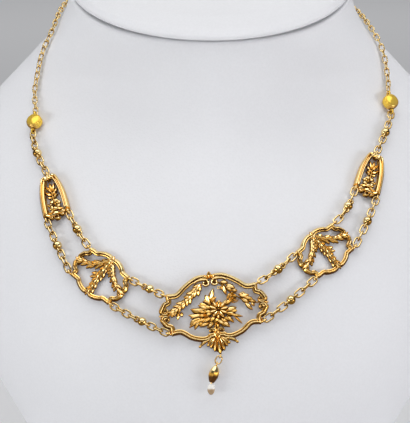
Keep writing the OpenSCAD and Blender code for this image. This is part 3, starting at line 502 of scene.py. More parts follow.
def center_leaves(work, forms, rng):
    top = forms.leaf_height / MM
    work.laurel([[-3.1, 8.9], [-4.4, 7.5], [-6.4, 5.8], [-8.7, 3.9], [-11.2, 2.1], [-13.2, 0.9]],
                10, 3.2, 1.4, rng, 28)
    work.leaves([[-11.6, 0.9], [-10.6, 0.6]], [[-12.3, -2.1], [-10.9, -1.2]], 1.2, top, blunt=0.3)
    work.rail(curve([[-13, 0.9], [-14.6, 0.4], [-16.3, 0.1]], 8), HALF_ROUND * [0.5, 0.9], 0.6)
    work.rail(curve([[2.4, 9], [4.4, 6.9], [6.6, 4.5], [9, 2.6], [11.6, 1.1], [13.4, 0.5], [16.3, 0.1]], 10),
              HALF_ROUND * [0.5, 0.75], 0.4)
    work.leaves(
        [[3.2, 8.7], [3.9, 8.1], [5, 7.7], [5.2, 6.9], [4.6, 6.7], [3.2, 7.2], [8.8, 3.5], [9.4, 2.3],
         [10.5, 0.9], [11.7, 1.3], [12.6, 0.7], [10.4, 2.6], [9.6, 3.2], [6.6, 5.6], [11.2, 1.9]],
        [[5.9, 8.1], [4.7, 4.0], [8, 5.8], [6.8, 5.1], [7, 6.4], [3.9, 5.6], [11.7, 2.7], [11.9, 0.5],
         [12.7, -2.1], [14.2, 0.7], [13.4, -0.9], [12.9, 1.7], [10.7, 4.4], [8.6, 4.9], [13.2, 1.9]],
        [1.6, 1.6, 1.8, 1.6, 1.6, 1.2, 1.8, 1.7, 1.6, 1.4, 1.3, 1.6, 1.4, 1.5, 1.4],
        top + rng.uniform(0.1, 0.4, 15), blunt=0.25, groove=0.2)
    work.rings([[2.5, 6.8, 0.9]], [0], 0.42, 0.3, flat=True)
    bud(work, [7.1, 2.9], 1.75, 185, 1.3)
    work.leaves([[8.6, 3.6], [9.4, 3.4], [5.9, 4.6]], [[11, 3.9], [12.2, 3], [4.7, 2.6]],
                [1.3, 1.4, 1.2], top, blunt=0.3)
    # Bouquet: feet, tips, width, height
    work.leaves(
        [[-1.5, 1.8], [-1.2, 2.4], [-0.8, 2.2], [-0.7, 0.1], [-2.6, 0.3], [-3.4, -0.4], [-4, -1.1],
         [-4, -1.7], [-4.1, -2.2], [-4.8, -2.6], [-4.9, -3.2], [-0.8, -2.4], [-1.8, -4.3], [0.4, -3.2],
         [2, -4.6], [-0.4, -4.6], [3.6, -1.2], [4.2, -1.9], [6, -2.7], [4, -2.6], [0.6, -4.2], [-2.4, -0.9],
         [-2.8, -2.6], [1.8, -2.9], [-0.4, 1.3], [2.6, 1.2]],
        [[-2.3, 5.1], [0.9, 6.9], [1.3, 3.9], [-5.1, 2.1], [-6.5, 1], [-7.8, 1], [-8.7, -0.9], [-8.2, -2.1],
         [-7.7, -3.9], [-8.9, -5.1], [-7.2, -6], [-4.9, -4], [-5.6, -5.1], [3, -5.6], [4.5, -6.7],
         [-3.1, -6.1], [7.6, -0.4], [9.3, -3.7], [8.7, -6.1], [6, -5.4], [1, -6.9], [-5.4, 0.1],
         [-6.2, -3.1], [4.1, -4.9], [-3.4, 3.1], [4.9, 2.6]],
        [2, 1.8, 1.5, 1.4, 1.4, 1.5, 1.6, 1.4, 1.4, 1.4, 1.5, 1.5, 1.5, 1.7, 1.7, 1.4, 1.9, 1.2, 0.9, 1.5,
         1.2, 1.4, 1.4, 1.5, 1.4, 1.4],
        top + rng.uniform(0.05, 0.4, 26), bend=rng.uniform(-0.12, 0.12, 26), blunt=0.25, groove=0.2)
    work.rail(curve([[0, -8.8], [-0.4, -6.5], [0.4, -3], [1.2, -1]], 8), HALF_ROUND * [0.8, 1.0], 0.6)
    bud(work, [-2.5, -1.5], 1.25, 200, 1.4)
    # Behind it, a lower layer of wide leaves, their highlight painted weaker as shade under the upper leaves
    work.leaves(
        [[-0.6, 1], [-1.6, 0.8], [-2, -0.6], [-2.4, -1.8], [-2, -2.8], [-0.8, -3.6], [1.4, -3.4],
         [2.6, -2.8], [3.4, -1.6], [3, 1], [-3.8, -0.6], [-4.2, -2.6], [-3.4, -3.6], [4.6, -1.2], [0.2, 1.4],
         [-5.2, -2]],
        [[-2.6, 3.9], [-4.4, 2.6], [-5.2, 1], [-5.9, -1.5], [-5, -4.4], [-2.8, -6.2], [3.2, -6.4],
         [5.6, -4.6], [6.8, -2.8], [6.4, 2.2], [-7.4, 0.4], [-7.6, -2.9], [-6, -4.6], [7.6, -1.6], [0, 4.4],
         [-8.6, -4.2]],
        1.8, 0.95 + rng.uniform(0, 0.15, 16), 0.5, blunt=0.4, groove=0.2, shine=0.55)
    work.leaves([[-0.4, -0.5], [-0.2, -1.3], [0, -2.1], [-0.6, 0.6], [0.9, -2.6]],
                [[-3.3, -0.3], [-3.2, -2.2], [-2.2, -3.9], [-3, 1.6], [-0.6, -4.6]],
                1.5, top + 0.2, 0.7, bend=[0.1, -0.1, 0.12, 0.1, 0.08], blunt=0.3, groove=0.2, shine=0.6)
    daisy = [1.5, -0.4]
    r = forms.daisy_radius / MM
    # Daisy: a lower ring of petals painted dark, a painted shade between the bright upper ring
    ring_of(work, daisy, 10, 0.5, 0.85 * r, 1.3, 26, top=top + 0.3, edge=0.9, low=0.3, blunt=0.7, shine=0.1)
    ring_of(work, daisy, 10, 0.45, r, 1.45, 8, top=top + 1.05, edge=1.15, low=0.4, blunt=0.7, groove=0.1,
            shine=1)
    # A dark bead as the daisy's centre, painted shade in its hollow
    work.beads([[*daisy, 1.3]], 0.62, 0.7, 0)


def center_palmette(work):
    """Nine lobes that fan out and curl under the frame, and the small leaves at its top and sides."""
    tips = np.array([[-6.2, -11.7], [-3.5, -11.6], [-2.8, -12.8], [-1.6, -14.1], [0.1, -15.1],
                     [1.6, -14.1], [2.8, -12.8], [3.5, -11.6], [6.2, -11.7]])
    feet = np.stack([tips[:, 0] * 0.2, np.full(9, -9.3)], -1)
    feet[[0, 8]] = [[-1.7, -9.9], [1.7, -9.9]]
    bend = [-0.14, -0.12, -0.1, -0.05, 0, 0.05, 0.1, 0.12, 0.14]
    work.leaves(feet, tips, [1.35, 1.4, 1.35, 1.35, 1.6, 1.35, 1.35, 1.4, 1.35],
                [1.3, 1.45, 1.5, 1.6, 1.8, 1.6, 1.5, 1.45, 1.3], bend=bend, blunt=0.9, groove=0.1)
    # Beads at the outer lobes' tips, half dark, a painted shade
    work.beads(np.column_stack([tips[[0, 1, 7, 8]], np.full(4, 0.75)]), 0.5, 0.9, 0.5)
    # Painted shade: a dark leaf laid as ground between the lobes
    work.leaves([[0, -8.6]], [[0, -14.4]], 4.8, 0.6, 0.45, blunt=0.8, shine=0)
    work.leaves([[-0.9, -7], [0.9, -7], [0, -9.4]], [[-0.2, -10.6], [0.2, -10.6], [0, -12.4]],
                [1.2, 1.2, 1.1], [1.35, 1.35, 1.7])
    work.leaves([[-0.3, 10], [0.3, 10], [0, 9.8]], [[-1.8, 11.6], [1.8, 11.6], [0, 12.7]], [1.3, 1.3, 1.5],
                [1.4, 1.4, 1.6], blunt=0.5)
    for sx in (-1, 1):
        work.leaves([[sx * 16.3, 0]], [[sx * 18.3, 0]], 0.9, 1)
        work.beads([[sx * 17.9, 0, 0.75]], 0.4)


def mid_frame(work, forms):
    """A quarter of the frame, mirrored both ways, with a leaf at each side and a stop at top and bottom."""
    size = 0.9 * np.array([forms.rail_width, forms.rail_height]) / MM
    side = curve([[8.35, 5.4], [8.4, 3.7], [9.6, 2.9], [10.35, 1.4]], 10)
    top = curve([[8.6, 5.2], [7.1, 5.25], [5.75, 5.35], [4.9, 6], [3.6, 6.65], [2.4, 7], [1.4, 7.1]], 6)
    for sx in (1, -1):
        for sy in (1, -1):
            scrolled_rail(work, side, [9.6, 0.95], (0.75, 0.4, 5, -240), size, 0.5, True, (sx, sy))
            scrolled_rail(work, top, [1.05, 6.3], (0.78, 0.4, 85, 250), size, 0.5, False, (sx, sy))
        work.leaves([[sx * 9.7, 0]], [[sx * 11.6, 0]], 0.9, 0.95)
        work.leaves([[0, sx * 5.6]], [[0, sx * 8.2]], 1.2, 1.3)


def mid_sprays(work, rng):
    work.laurel([[-0.5, 6], [-2.3, 4], [-5, 1.6], [-8.3, 0.4]], 7, 3.2, 1.35, rng, 24, hang=6)
    work.laurel([[0.6, 5.9], [2.4, 4.1], [5.1, 1.7], [8.4, 0.3]], 7, 3.2, 1.35, rng, 24, hang=-6)
    work.laurel([[0, 6], [-0.15, 3], [-0.3, -0.4], [-0.1, -3.8]], 7, 3.4, 1.4, rng, 27)
    work.leaves([[-0.5, 0.6], [-0.5, -0.4]], [[-3, -0.9], [-2.7, -2.3]], 1.5, 1.5, 0.8, blunt=0.3)
    work.beads([[0, 5.9, 0.9], [-0.8, 6.3, 0.7], [0.8, 6.3, 0.7]], [0.7, 0.5, 0.5], 0.8)


def upper_forms(work, forms, rng):
    """A deep grooved rim that narrows upwards to two small arches, and a scalloped foot with three curls."""
    h = forms.upper_height / MM
    side = curve([[3.9, -8.7], [3.8, -4], [3.45, 0.5], [2.7, 4.4], [2, 6.6]], 10)
    arch = curve([[2.6, 5.8], [2.3, 7], [1.4, 7.45], [0.5, 7], [-0.2, 6]], 8)
    foot = curve([[-0.2, -8.7], [1, -9.3], [2.3, -9.3], [3.3, -8.6], [4, -7.6]], 8)
    for flip in (1, -1):
        for path, profile, relief in (
            (side, DEEP_RAIL * [2, h], DEEP_PATINA_LIGHT), (arch, HALF_ROUND * [1.3, h], PLAIN_PATINA_LIGHT),
            (foot, HALF_ROUND * [1.2, h * 0.98], PLAIN_PATINA_LIGHT),
        ):
            work.rail((path * [flip, 1])[::flip], profile, relief)
    work.leaves([[0, 5.9], [0.2, 6.7], [-0.2, 6.7]], [[0, 8.5], [-2.1, 6.2], [2.1, 6.2]], [1.3, 1.5, 1.5],
                2.3, 1.6, 0.9, blunt=0.5, groove=0.1, shine=1)
    work.rail(curve([[0.1, -9], [-0.1, -5], [0, 1.6]], 8), HALF_ROUND * [0.7, 0.9], 0.4)
    work.leaves(
        [[-0.1, -0.75], [0.1, -0.75], [-0.1, 0.8], [0.1, 0.8], [0, 1.5], [-0.1, -1.9], [0.1, -1.9],
         [-0.2, -6.7], [0.2, -6.7]],
        [[-2.3, 1.6], [2.3, 1.6], [-1.6, 4.2], [1.6, 4.2], [0, 4.9], [-2, -0.9], [2, -0.9],
         [-3.2, -8.1], [3.2, -8.1]],
        [1.5, 1.5, 1.5, 1.5, 1.4, 1.1, 1.1, 1.2, 1.2], 1.35 + rng.uniform(0, 0.15, 9), blunt=0.2, shine=1)
    rose = [0, -5]
    ring_of(work, rose, 7, 0.7, 2.5, 1.6, 12, top=1.7, edge=0.8, blunt=1, cup=0.5, groove=0.1, shine=1)
    # A dark bead as the rose's centre, painted shade in its hollow
    work.beads([[*rose, 1.1]], 0.8, 0.7, 0)
    # Three curls at the foot, each over a dark bead painted as the shade in its eye
    for middle, r, turn in (([0, -10.5], 0.95, 100), ([-2, -9.7], 0.8, 60), ([2, -9.7], 0.8, 140)):
        work.rail(scroll(middle, r, r * 0.65, turn, 320, 20), HALF_ROUND * [0.65, 1.9], HALF_ROUND[:, 1] ** 2)
        work.beads([[*middle, 0.6]], 0.8 * r, 0.7, 0)


def revolved(work, rows, sides, flats=0, relief=0.8):
    """Rows of (radius, height) turned about the axis, round or with flats whose corners are eased.

    On a flat, r = radius cos(pi / flats) / cos(b), where b is the angle from the flat's middle."""
    rows = np.asarray(rows, float)
    a = np.linspace(0, 2 * np.pi, sides, endpoint=False)[None]
    share = 1
    if flats:
        step = 2 * np.pi / flats
        b = np.mod(a, step) - step / 2
        share = np.minimum(np.cos(step / 2) / np.cos(b), 0.985)
    r = rows[:, :1] * share
    rings = np.stack([r * np.cos(a), r * np.sin(a), rows[:, 1:2] + 0 * a], -1)
    ends = np.array([[0, 0, rows[0, 1]], [0, 0, rows[-1, 1]]])
    work.tubes(rings[None], ends[:1], ends[1:], relief)


# Shader nodes

# Tint of gold at a glancing angle
EDGE_TINT = (0.9, 0.72, 0.4)


class Wire:
    """A node's output. Arithmetic on it adds Math nodes."""

    def __init__(self, finish, socket):
        self.finish = finish
        self.socket = socket

    def _math(self, operation, first, second):
        return self.finish.node("ShaderNodeMath", {"operation": operation}, {0: first, 1: second})

    def __add__(self, other):
        return self._math("ADD", self, other)

    def __sub__(self, other):
        return self._math("SUBTRACT", self, other)

    def __rsub__(self, other):
        return self._math("SUBTRACT", other, self)

    def __mul__(self, other):
        return self._math("MULTIPLY", self, other)

    __radd__ = __add__


class Finish:
    """A material in the making."""

    def __init__(self, name):
        self.material = bpy.data.materials.new(name)
        self.material.use_nodes = True
        self.tree = self.material.node_tree
        self.tree.nodes.clear()
        self.place = self.node("ShaderNodeTexCoord", output="Object")

    def node(self, kind, settings=None, values=None, output=0):
        """Adds a node, sets it up, fills its sockets with values or links, and returns one of its outputs."""
        node = self.tree.nodes.new(kind)
        for key, value in (settings or {}).items():
            if key == "stops":
                ramp = node.color_ramp.elements
                while len(ramp) < len(value):
                    ramp.new(0.5)
                for stop, (position, colour) in zip(ramp, value):
                    stop.position = position
                    stop.color = (*colour, 1)
            else:
                setattr(node, key, value)
        for key, value in (values or {}).items():
            if isinstance(value, Wire):
                self.tree.links.new(value.socket, node.inputs[key])
            else:
                node.inputs[key].default_value = value
        return Wire(self, node.outputs[output]) if len(node.outputs) else None

    def noise(self, size, detail, rough=0.55):
        return self.node("ShaderNodeTexNoise", None,
                         {"Vector": self.place, "Scale": 1 / size, "Detail": detail, "Roughness": rough})

    def cells(self, size):
        return self.node("ShaderNodeTexVoronoi", None, {"Vector": self.place, "Scale": 1 / size})

    def ramp(self, value, stops):
        return self.node("ShaderNodeValToRGB", {"stops": stops}, {0: value})

    def blend(self, factor, first, second):
        return self.node("ShaderNodeMix", {"data_type": "RGBA"},
                         {0: factor, 6: (*first, 1), 7: (*second, 1)}, 2)

    def bump(self, height, depth, strength):
        return self.node("ShaderNodeBump", None, {"Strength": strength, "Distance": depth, "Height": height})

    def surface(self, **values):
        """Closes the material with a Principled surface, sockets named with _ for a space."""
        values = {key.replace("_", " "): value for key, value in values.items()}
        shader = self.node("ShaderNodeBsdfPrincipled", None, values)
        self.node("ShaderNodeOutputMaterial", None, {"Surface": shader})
        return self.material


def leatherette(name, look):
    """White leatherette: a fine pebbled grain with pores between its cells, and a faint unevenness."""
    f = Finish(name)
    grain = f.cells(look.grain_size)
    fine = f.noise(look.grain_size * 0.35, 4)
    soft = f.noise(0.03, 2)
    colour = tuple(look.white)
    shade = tuple(c * 0.93 for c in colour)
    tone = f.blend(grain * 0.5 + soft * 0.5, shade, colour)
    pebbles = f.node("ShaderNodeMath", {"operation": "SMOOTH_MIN"}, {0: grain * 1.6, 1: 0.75, 2: 0.3})
    return f.surface(Base_Color=tone, Roughness=0.46 + fine * 0.14, Specular_IOR_Level=0.42,
                     Sheen_Weight=0.05, Normal=f.bump(pebbles + fine * 0.25, look.grain_depth, 0.5))


def satin_gold(name, look):
    """Cast gold: polished and pale where it is high, the paleness a painted highlight, dull and dark brown in
    its recesses, patina and painted shade, with a fine cast skin.
    """
    f = Finish(name)
    relief = f.node("ShaderNodeAttribute", {"attribute_name": "relief"}, output="Fac")
    cast = f.noise(0.0007, 3)
    fine = f.noise(0.00016, 2)
    high = relief + cast * 0.24 - 0.12
    deep, body, light = tuple(look.recess), tuple(look.satin), tuple(look.satin_high)
    brown = tuple(0.35 * b + 0.65 * d for b, d in zip(body, deep))
    # Tone ramp: dark brown in recesses as patina and painted shade, pale on high spots and up-facing sides as
    # painted highlight and painted light
    tone = f.ramp(high, [(0.06, deep), (0.24, brown), (0.5, body), (1.0, light)])
    rough = f.node("ShaderNodeClamp", None, {"Value": 0.5 - high * 0.5 + fine * 0.1, "Min": 0.11, "Max": 0.7})
    metal = f.node("ShaderNodeClamp", None, {"Value": 0.45 + high * 1.6, "Min": 0.0, "Max": 1.0})
    return f.surface(Base_Color=tone, Metallic=metal, Roughness=rough, Specular_IOR_Level=0.25,
                     Specular_Tint=(*EDGE_TINT, 1), Normal=f.bump(cast + fine * 0.4, 0.00003, 0.4))


def polished_gold(name, look, body, lift=0.0, metal=1.0):
    """Polished gold with small wear marks: `body` where it faces up and inwards, a painted light, and darker
    on its undersides, a painted shade.

    The tone's place on its ramp is (facing + lift) / 2 + 1/2, a little unevenly."""
    f = Finish(name)
    wander = f.noise(0.004, 2)
    marks = f.noise(0.0004, 4, 0.7)
    way = f.node("ShaderNodeSeparateXYZ", None, {0: f.node("ShaderNodeTexCoord", output="Normal")})
    place = f.node("ShaderNodeSeparateXYZ", None, {0: f.place})
    # Painted light by facing: the tone is lighter where the normal faces up and towards the middle, darker on
    # the undersides
    facing = Wire(f, way.socket.node.outputs[2]) + way * place * (LEAN / MM) + wander * 0.4 + (lift - 0.2)
    tone = f.ramp(facing * 0.5 + 0.5, [(0.45, tuple(look.shaded)), (0.63, tuple(look.polished_deep)),
                                       (0.87, tuple(body))])
    return f.surface(Base_Color=tone, Metallic=metal, Roughness=0.08 + marks * 0.14,
                     Normal=f.bump(marks, 0.00001, 0.3), Specular_Tint=(*EDGE_TINT, 1))


def pearl_skin(name, look):
    """Pearl: nacre, cream above as a painted highlight and honey below as painted shade, with faint growth
    bands and a clear lustre over it.
    """
    f = Finish(name)
    bands = f.noise(0.0016, 2)
    fine = f.noise(0.0003, 3)
    # Tone by height, 1 at the top and 0 at the bottom: painted highlight above, painted shade below
    down = f.node("ShaderNodeAttribute", {"attribute_name": "relief"}, output="Fac")
    tone = f.ramp(down + bands * 0.2 - 0.1, [(0.4, tuple(look.pearl_shade)), (0.68, tuple(look.pearl))])
    return f.surface(Base_Color=tone, Roughness=0.2 + fine * 0.12, Coat_Weight=0.7, Coat_Roughness=0.08,
                     Normal=f.bump(fine, 0.00001, 0.3))


def floor_finish(name, stage):
    f = Finish(name)
    soft = f.noise(0.5, 2)
    colour = tuple(stage.floor)
    return f.surface(Base_Color=f.blend(soft, tuple(c * 0.97 for c in colour), colour), Roughness=0.75)


# Settings

def colour_of(slot):
    """The record's colour of a material slot."""
    return next(tuple(m["base_color"][:3]) for m in frame["record"]["materials"] if m["slot"] == slot)


def colour(name, description, default):
    return bpy.props.FloatVectorProperty(name=name, description=description, default=default, subtype="COLOR",
                                         size=3, min=0, max=1)


def length(name, description, default_mm, least, most):
    return bpy.props.FloatProperty(name=name, description=description, default=default_mm * MM,
                                   min=least * MM, max=most * MM, unit="LENGTH", precision=5)


def power(name, where, default):
    return bpy.props.FloatProperty(name=name, description=f"Power of the softbox {where}", default=default,
                                   min=0, unit="POWER")


class NECKLACE_PG_forms(bpy.types.PropertyGroup):
    rail_width: length("Rail width", "Width of the rail round the centre and side plaques", 1.85, 1.3, 2)
    rail_height: length("Rail height", "Height of that rail's outer rim", 1.4, 1.1, 1.6)
    leaf_height: length("Leaf height", "Height of the leaves over the back of a plaque", 1.15, 1, 1.3)
    daisy_radius: length("Daisy radius", "Radius of the daisy in the centre plaque", 3.2, 2.8, 3.5)
    upper_height: length("Upper rim height", "Height of the upper plaques' rim", 2.1, 1.8, 2.4)


class NECKLACE_PG_look(bpy.types.PropertyGroup):
    white: colour("Leatherette", "Colour of the bust's cover", colour_of("white_leatherette"))
    grain_size: length("Grain size", "Size of the leatherette's pebbles", 0.8, 0.3, 2)
    grain_depth: length("Grain depth", "Depth of the leatherette's grain", 0.05, 0.01, 0.2)
    satin: colour("Satin gold", "Body colour of the cast plaques", (0.98, 0.53, 0.09))
    # Their high spots' pale colour is a painted highlight
    satin_high: colour("Satin gold, high spots", "Colour of their polished high spots", (1, 0.78, 0.38))
    # The recesses' dark brown is a patina and a painted shade
    recess: colour("Recesses", "Colour in the plaques' recesses", (0.09, 0.032, 0.006))
    polished: colour("Polished gold", "Pale colour of the chains and balls", colour_of("polished_gold"))
    button: colour("Buttons", "Yellow of the domed buttons", (1, 0.66, 0.09))
    # The deeper colour and the undersides' colour paint shade on the polished gold where it faces down
    polished_deep: colour("Polished gold, deeper", "Deeper colour of the same gold", (0.84, 0.52, 0.14))
    shaded: colour("Polished gold, undersides", "Colour of its toned undersides", (0.24, 0.12, 0.022))
    pearl: colour("Pearl", "Colour of the pearl", colour_of("pearl"))
    # The pearl's lower half: painted shade
    pearl_shade: colour("Pearl, bands", "Colour of the pearl's lower half", (0.42, 0.27, 0.13))


class NECKLACE_PG_stage(bpy.types.PropertyGroup):
    floor: colour("Floor", "Colour of the pale floor", (0.8, 0.8, 0.81))
    world: bpy.props.FloatProperty(name="Room light", description="Strength of the even light", default=0.12,
                                   min=0)
    key: power("Left light", "on the left", 3.5)
    fill: power("Right light", "on the right", 3.5)
    front: power("Front light", "above the camera", 0.8)
    top: power("Top light", "overhead", 6.6)
    back: power("Back light", "behind", 1.5)
    floor_light: power("Floor light", "over the floor behind", 18)
    distance: bpy.props.FloatProperty(name="Camera distance", description="From the camera to its target",
                                      default=0.65, min=0.3, max=3, unit="LENGTH")
    elevation: bpy.props.FloatProperty(name="Camera elevation", description="Height of the view",
                                       default=math.radians(12), subtype="ANGLE")
    lens: bpy.props.FloatProperty(name="Lens", description="Focal length", default=147, min=20, max=300,
                                  unit="CAMERA")


GROUPS = {
    "necklace_forms": NECKLACE_PG_forms,
    "necklace_look": NECKLACE_PG_look,
    "necklace_stage": NECKLACE_PG_stage,
}


# Operators

class NECKLACE_OT_bust(bpy.types.Operator):
    """Cover the bust and its neck cap with smooth leatherette"""
    bl_idname = "necklace.bust"
    bl_label = "Bust and cap"

    def execute(self, context):
        finish = leatherette("leatherette", context.scene.necklace_look)
        sides, body_rows, neck_rows, cap_rows = 216, 132, 25, 40
        a = np.linspace(0, 360, sides, endpoint=False)[None]
        # Foot: the skin's ring drawn in round a quarter circle
        turn = np.radians([0, 12, 25, 40, 55, 70])[:, None, None]
        low = skin(a, FOOT_ROUND)
        middle = np.stack([0 * a, bust_middle(FOOT_ROUND) + 0 * a, 0 * a], -1)
        foot = low - FOOT_ROUND * (1 - np.sin(turn)) * unit((low - middle) * [1, 1, 0])
        foot[..., 2] = FOOT_ROUND * (1 - np.cos(turn))[..., 0]
        body = skin(a, np.linspace(FOOT_ROUND, NECK_FROM, body_rows)[:, None])
        # Neck: rings that lean more and more, up to the sloping rim, then a rounded lip turned in
        rim = RIM_HEIGHT + skin(a, RIM_HEIGHT)[..., 1] * RIM_SLOPE - SEAM - LIP
        neck = skin(a, NECK_FROM + (rim - NECK_FROM) * np.linspace(0, 1, neck_rows)[1:, None])
        edge = np.radians([30, 60, 90])[:, None, None]
        last = skin(a, rim)
        lip = last - LIP * (1 - np.cos(edge)) * unit(last * [1, 1, 0]) + LIP * np.sin(edge) * [0, 0, 1]
        rings = np.concatenate([foot, body, neck, lip])
        work = Work()
        ends = np.array([[[0, bust_middle(0), 0]], [[0, 0, RIM_HEIGHT - SEAM]]])
        work.tubes(rings[None], *ends, 0.5)
        work.piece("bust_cover", finish, "bust", sharp=60)
        # Cap: a pad with a rounded edge and a crowned top, on the slope of the rim
        t = np.linspace(0, 1, cap_rows)[:, None]
        steps = [0, 0.1, 0.2, 0.3, 0.45, 0.65, 0.85, 1]
        reach = CAP_REACH * np.interp(t, steps, [0.965, 0.988, 0.999, 1, 0.975, 0.86, 0.55, 0.1])
        rise = CAP_RISE * np.interp(t, steps, [0, 0.03, 0.1, 0.2, 0.4, 0.7, 0.93, 1])
        x, y = reach * np.cos(np.radians(a)), reach * np.sin(np.radians(a))
        rings = np.stack([x, y, RIM_HEIGHT + y * RIM_SLOPE + rise], -1)
        work = Work()
        ends = np.array([[[0, 0, RIM_HEIGHT]], [[0, 0, RIM_HEIGHT + CAP_RISE]]])
        work.tubes(rings[None], *ends, 0.5)
        pad = work.piece("cap_pad", finish, "neck_cap", sharp=60)
        return {"FINISHED"}


class NECKLACE_OT_center(bpy.types.Operator):
    """Make the centre plaque: moulded frame, garlands, bouquet and palmette"""
    bl_idname = "necklace.center"
    bl_label = "Centre plaque"

    def execute(self, context):
        forms = context.scene.necklace_forms
        rng = np.random.default_rng(SEED)
        work = Work()
        center_frame(work, forms)
        center_leaves(work, forms, rng)
        center_palmette(work)
        work.eyelets(eyelets()["center"])
        drop = on_seat("drop", [0, 0, DROP_LIFT]) - on_seat("center", [*DROP_EYE, EYE_HEIGHT])
        _, r, u, _ = seat_axes("center")
        turn = math.degrees(math.atan2(drop @ u, drop @ r))
        work.rings([(*DROP_EYE, EYE_HEIGHT)], [turn], DROP_EYE_R, DROP_WIRE)
        work.piece("center_plaque_cast", bpy.data.materials["cast_gold"], "center_plaque",
                   "center")
        return {"FINISHED"}


class NECKLACE_OT_sides(bpy.types.Operator):
    """Make the four side plaques, left and right alike but mirrored"""
    bl_idname = "necklace.sides"
    bl_label = "Side plaques"

    def execute(self, context):
        forms = context.scene.necklace_forms
        eyes = eyelets()
        gold = bpy.data.materials["cast_gold"]
        for side in ("left", "right"):
            for kind in ("mid", "upper"):
                work = Work()
                rng = np.random.default_rng(SEED + 1)
                if kind == "mid":
                    mid_frame(work, forms)
                    mid_sprays(work, rng)
                else:
                    upper_forms(work, forms, rng)
                if side == "right":
                    work.mirrored()
                work.eyelets(eyes[f"{kind}_{side}"])
                node = f"{kind}_plaque_{side}"
                work.piece(f"{node}_cast", gold, node, f"{kind}_{side}")
        return {"FINISHED"}


class NECKLACE_OT_chains(bpy.types.Operator):
    """Give the links, balls, clasp and jump ring their polished gold, and make the domed buttons"""
    bl_idname = "necklace.chains"
    bl_label = "Chains and buttons"

    def remade(self, name, node, gold, swell=1.0, share=1.0):
        """A merged copy of a node that keeps a share of its faces.

        Points on the ball about the middle of its box move out: p += (p - middle) * (swell - 1)."""
        mesh = node.data.copy()
        shell = bmesh.new()
        shell.from_mesh(mesh)
        bmesh.ops.remove_doubles(shell, verts=shell.verts, dist=1e-6)
        shell.to_mesh(mesh)
        shell.free()
        points = np.empty((len(mesh.vertices), 3), np.float32)
        mesh.vertices.foreach_get("co", points.ravel())
        off = points - (points.min(0) + points.max(0)) / 2
        on_ball = np.linalg.norm(off, axis=1, keepdims=True) < BALL_D / 2 * 1.01 * MM
        points += np.where(on_ball, off * (swell - 1), 0)
        mesh.vertices.foreach_set("co", points.ravel())
        thing = stand_in(f"{name}_round", mesh, gold, name, 50)
        if share < 1:
            thing.modifiers.new("thin", "DECIMATE").ratio = share

    def execute(self, context):
        gold, fine, yellow = (bpy.data.materials[key] for key in ("bright_gold", "fine_gold", "button_gold"))
        for name, node in frame["nodes"].items():
            if any(word in name for word in ("links", "ball", "chain", "clasp", "ring")):
                for slot in node.material_slots:
                    slot.material = gold
            if "ball" in name:
                self.remade(name, node, gold, swell=BALL_SWELL)
            if "back_chain" in name:
                self.remade(name, node, fine, share=BACK_SHARE)
        r = BUTTON_D / 2
        rows = [(0.5, 0), (r - 0.3, 0), (r - 0.08, 0.08), (r, 0.3), (r, 1), (r, 1.7), (r - 0.04, 1.9),
                (r - 0.16, 2.02), (r - 0.3, 2.06), (r - 0.34, 2.16), (r - 0.24, 2.26), (r - 0.2, 2.42),
                (r - 0.3, 2.6), (r - 0.55, 2.73), (r - 1, 2.84), (r - 1.6, 2.93), (r - 2.3, 2.98),
                (0.15, BUTTON_H)]
        for name, turns in BUTTON_TURNS.items():
            work = Work()
            revolved(work, rows, sides=72)
            work.eyelets([(*button_ring(turn), turn) for turn in turns])
            work.piece(f"{name}_dome", yellow, name, name, sharp=50)
        return {"FINISHED"}


class NECKLACE_OT_drop(bpy.types.Operator):
    """Make the drop's ridged cap and its pearl"""
    bl_idname = "necklace.drop"
    bl_label = "Drop and pearl"

    def execute(self, context):
        cap_l, r, askew = 5.8, 1.65, 14

        def laid(work, first, turn, start):
            """Lays forms down: x' = x cos + z sin, y' = start + x sin - z cos, z' = y + DROP_LIFT."""
            c, s = cos_sin(turn)
            work.points[first:] = [
                np.stack([x * c + z * s, start + x * s - z * c, DROP_LIFT + y], -1)
                for x, y, z in (points.T for points in work.points[first:])]

        work = Work()
        rows = [(0.3, 0), (0.45, 0.06), (0.66, 0.3), (r * 0.68, 0.95), (r * 0.88, 1.7), (r * 0.97, 2.3),
                (r, 2.75), (r, 3.2), (r * 0.97, 3.7), (r * 0.87, 4.3), (r * 0.74, 4.85), (r * 0.6, 5.35),
                (r * 0.55, 5.45), (r * 0.56, 5.6), (r * 0.52, 5.74), (r * 0.3, cap_l)]
        # Painted light above, painted shade below
        relief = np.interp([z for _, z in rows], [1.6, 4.2], [0.75, 0])
        revolved(work, rows, sides=96, flats=8, relief=relief[None, :, None])
        laid(work, 0, 0, -DROP_EYE_R)
        work.rings([(0, 0, DROP_LIFT)], [90], DROP_EYE_R, DROP_WIRE)
        # The peg and the pearl hang a little askew from the cap's end
        before = len(work.points)
        revolved(work, [(0.3, -0.8), (0.3, 0.5), (0.3, 1.6)], sides=24)
        laid(work, before, askew, -DROP_EYE_R - cap_l)
        work.piece("drop_cap_ridged", bpy.data.materials["cast_gold"], "drop_cap", "drop",
                   sharp=30)
        half, d = 1.9, 2.7
        pearl = Work()
        a = np.radians(np.linspace(0, 180, 40)[1:-1])
        rows = np.stack([d / 2 * (0.93 + 0.07 * np.cos(a)) * np.sin(a), 0.25 + half * (1 - np.cos(a))], -1)
        # Tone from 1 at the top to 0 at the bottom: painted highlight fading to painted shade
        revolved(pearl, rows, sides=72, relief=np.linspace(1, 0, len(rows))[None, :, None])
        laid(pearl, 0, askew, -DROP_EYE_R - cap_l)
        pearl.piece("pearl_bead", pearl_skin("nacre", context.scene.necklace_look), "pearl", "drop")
        return {"FINISHED"}


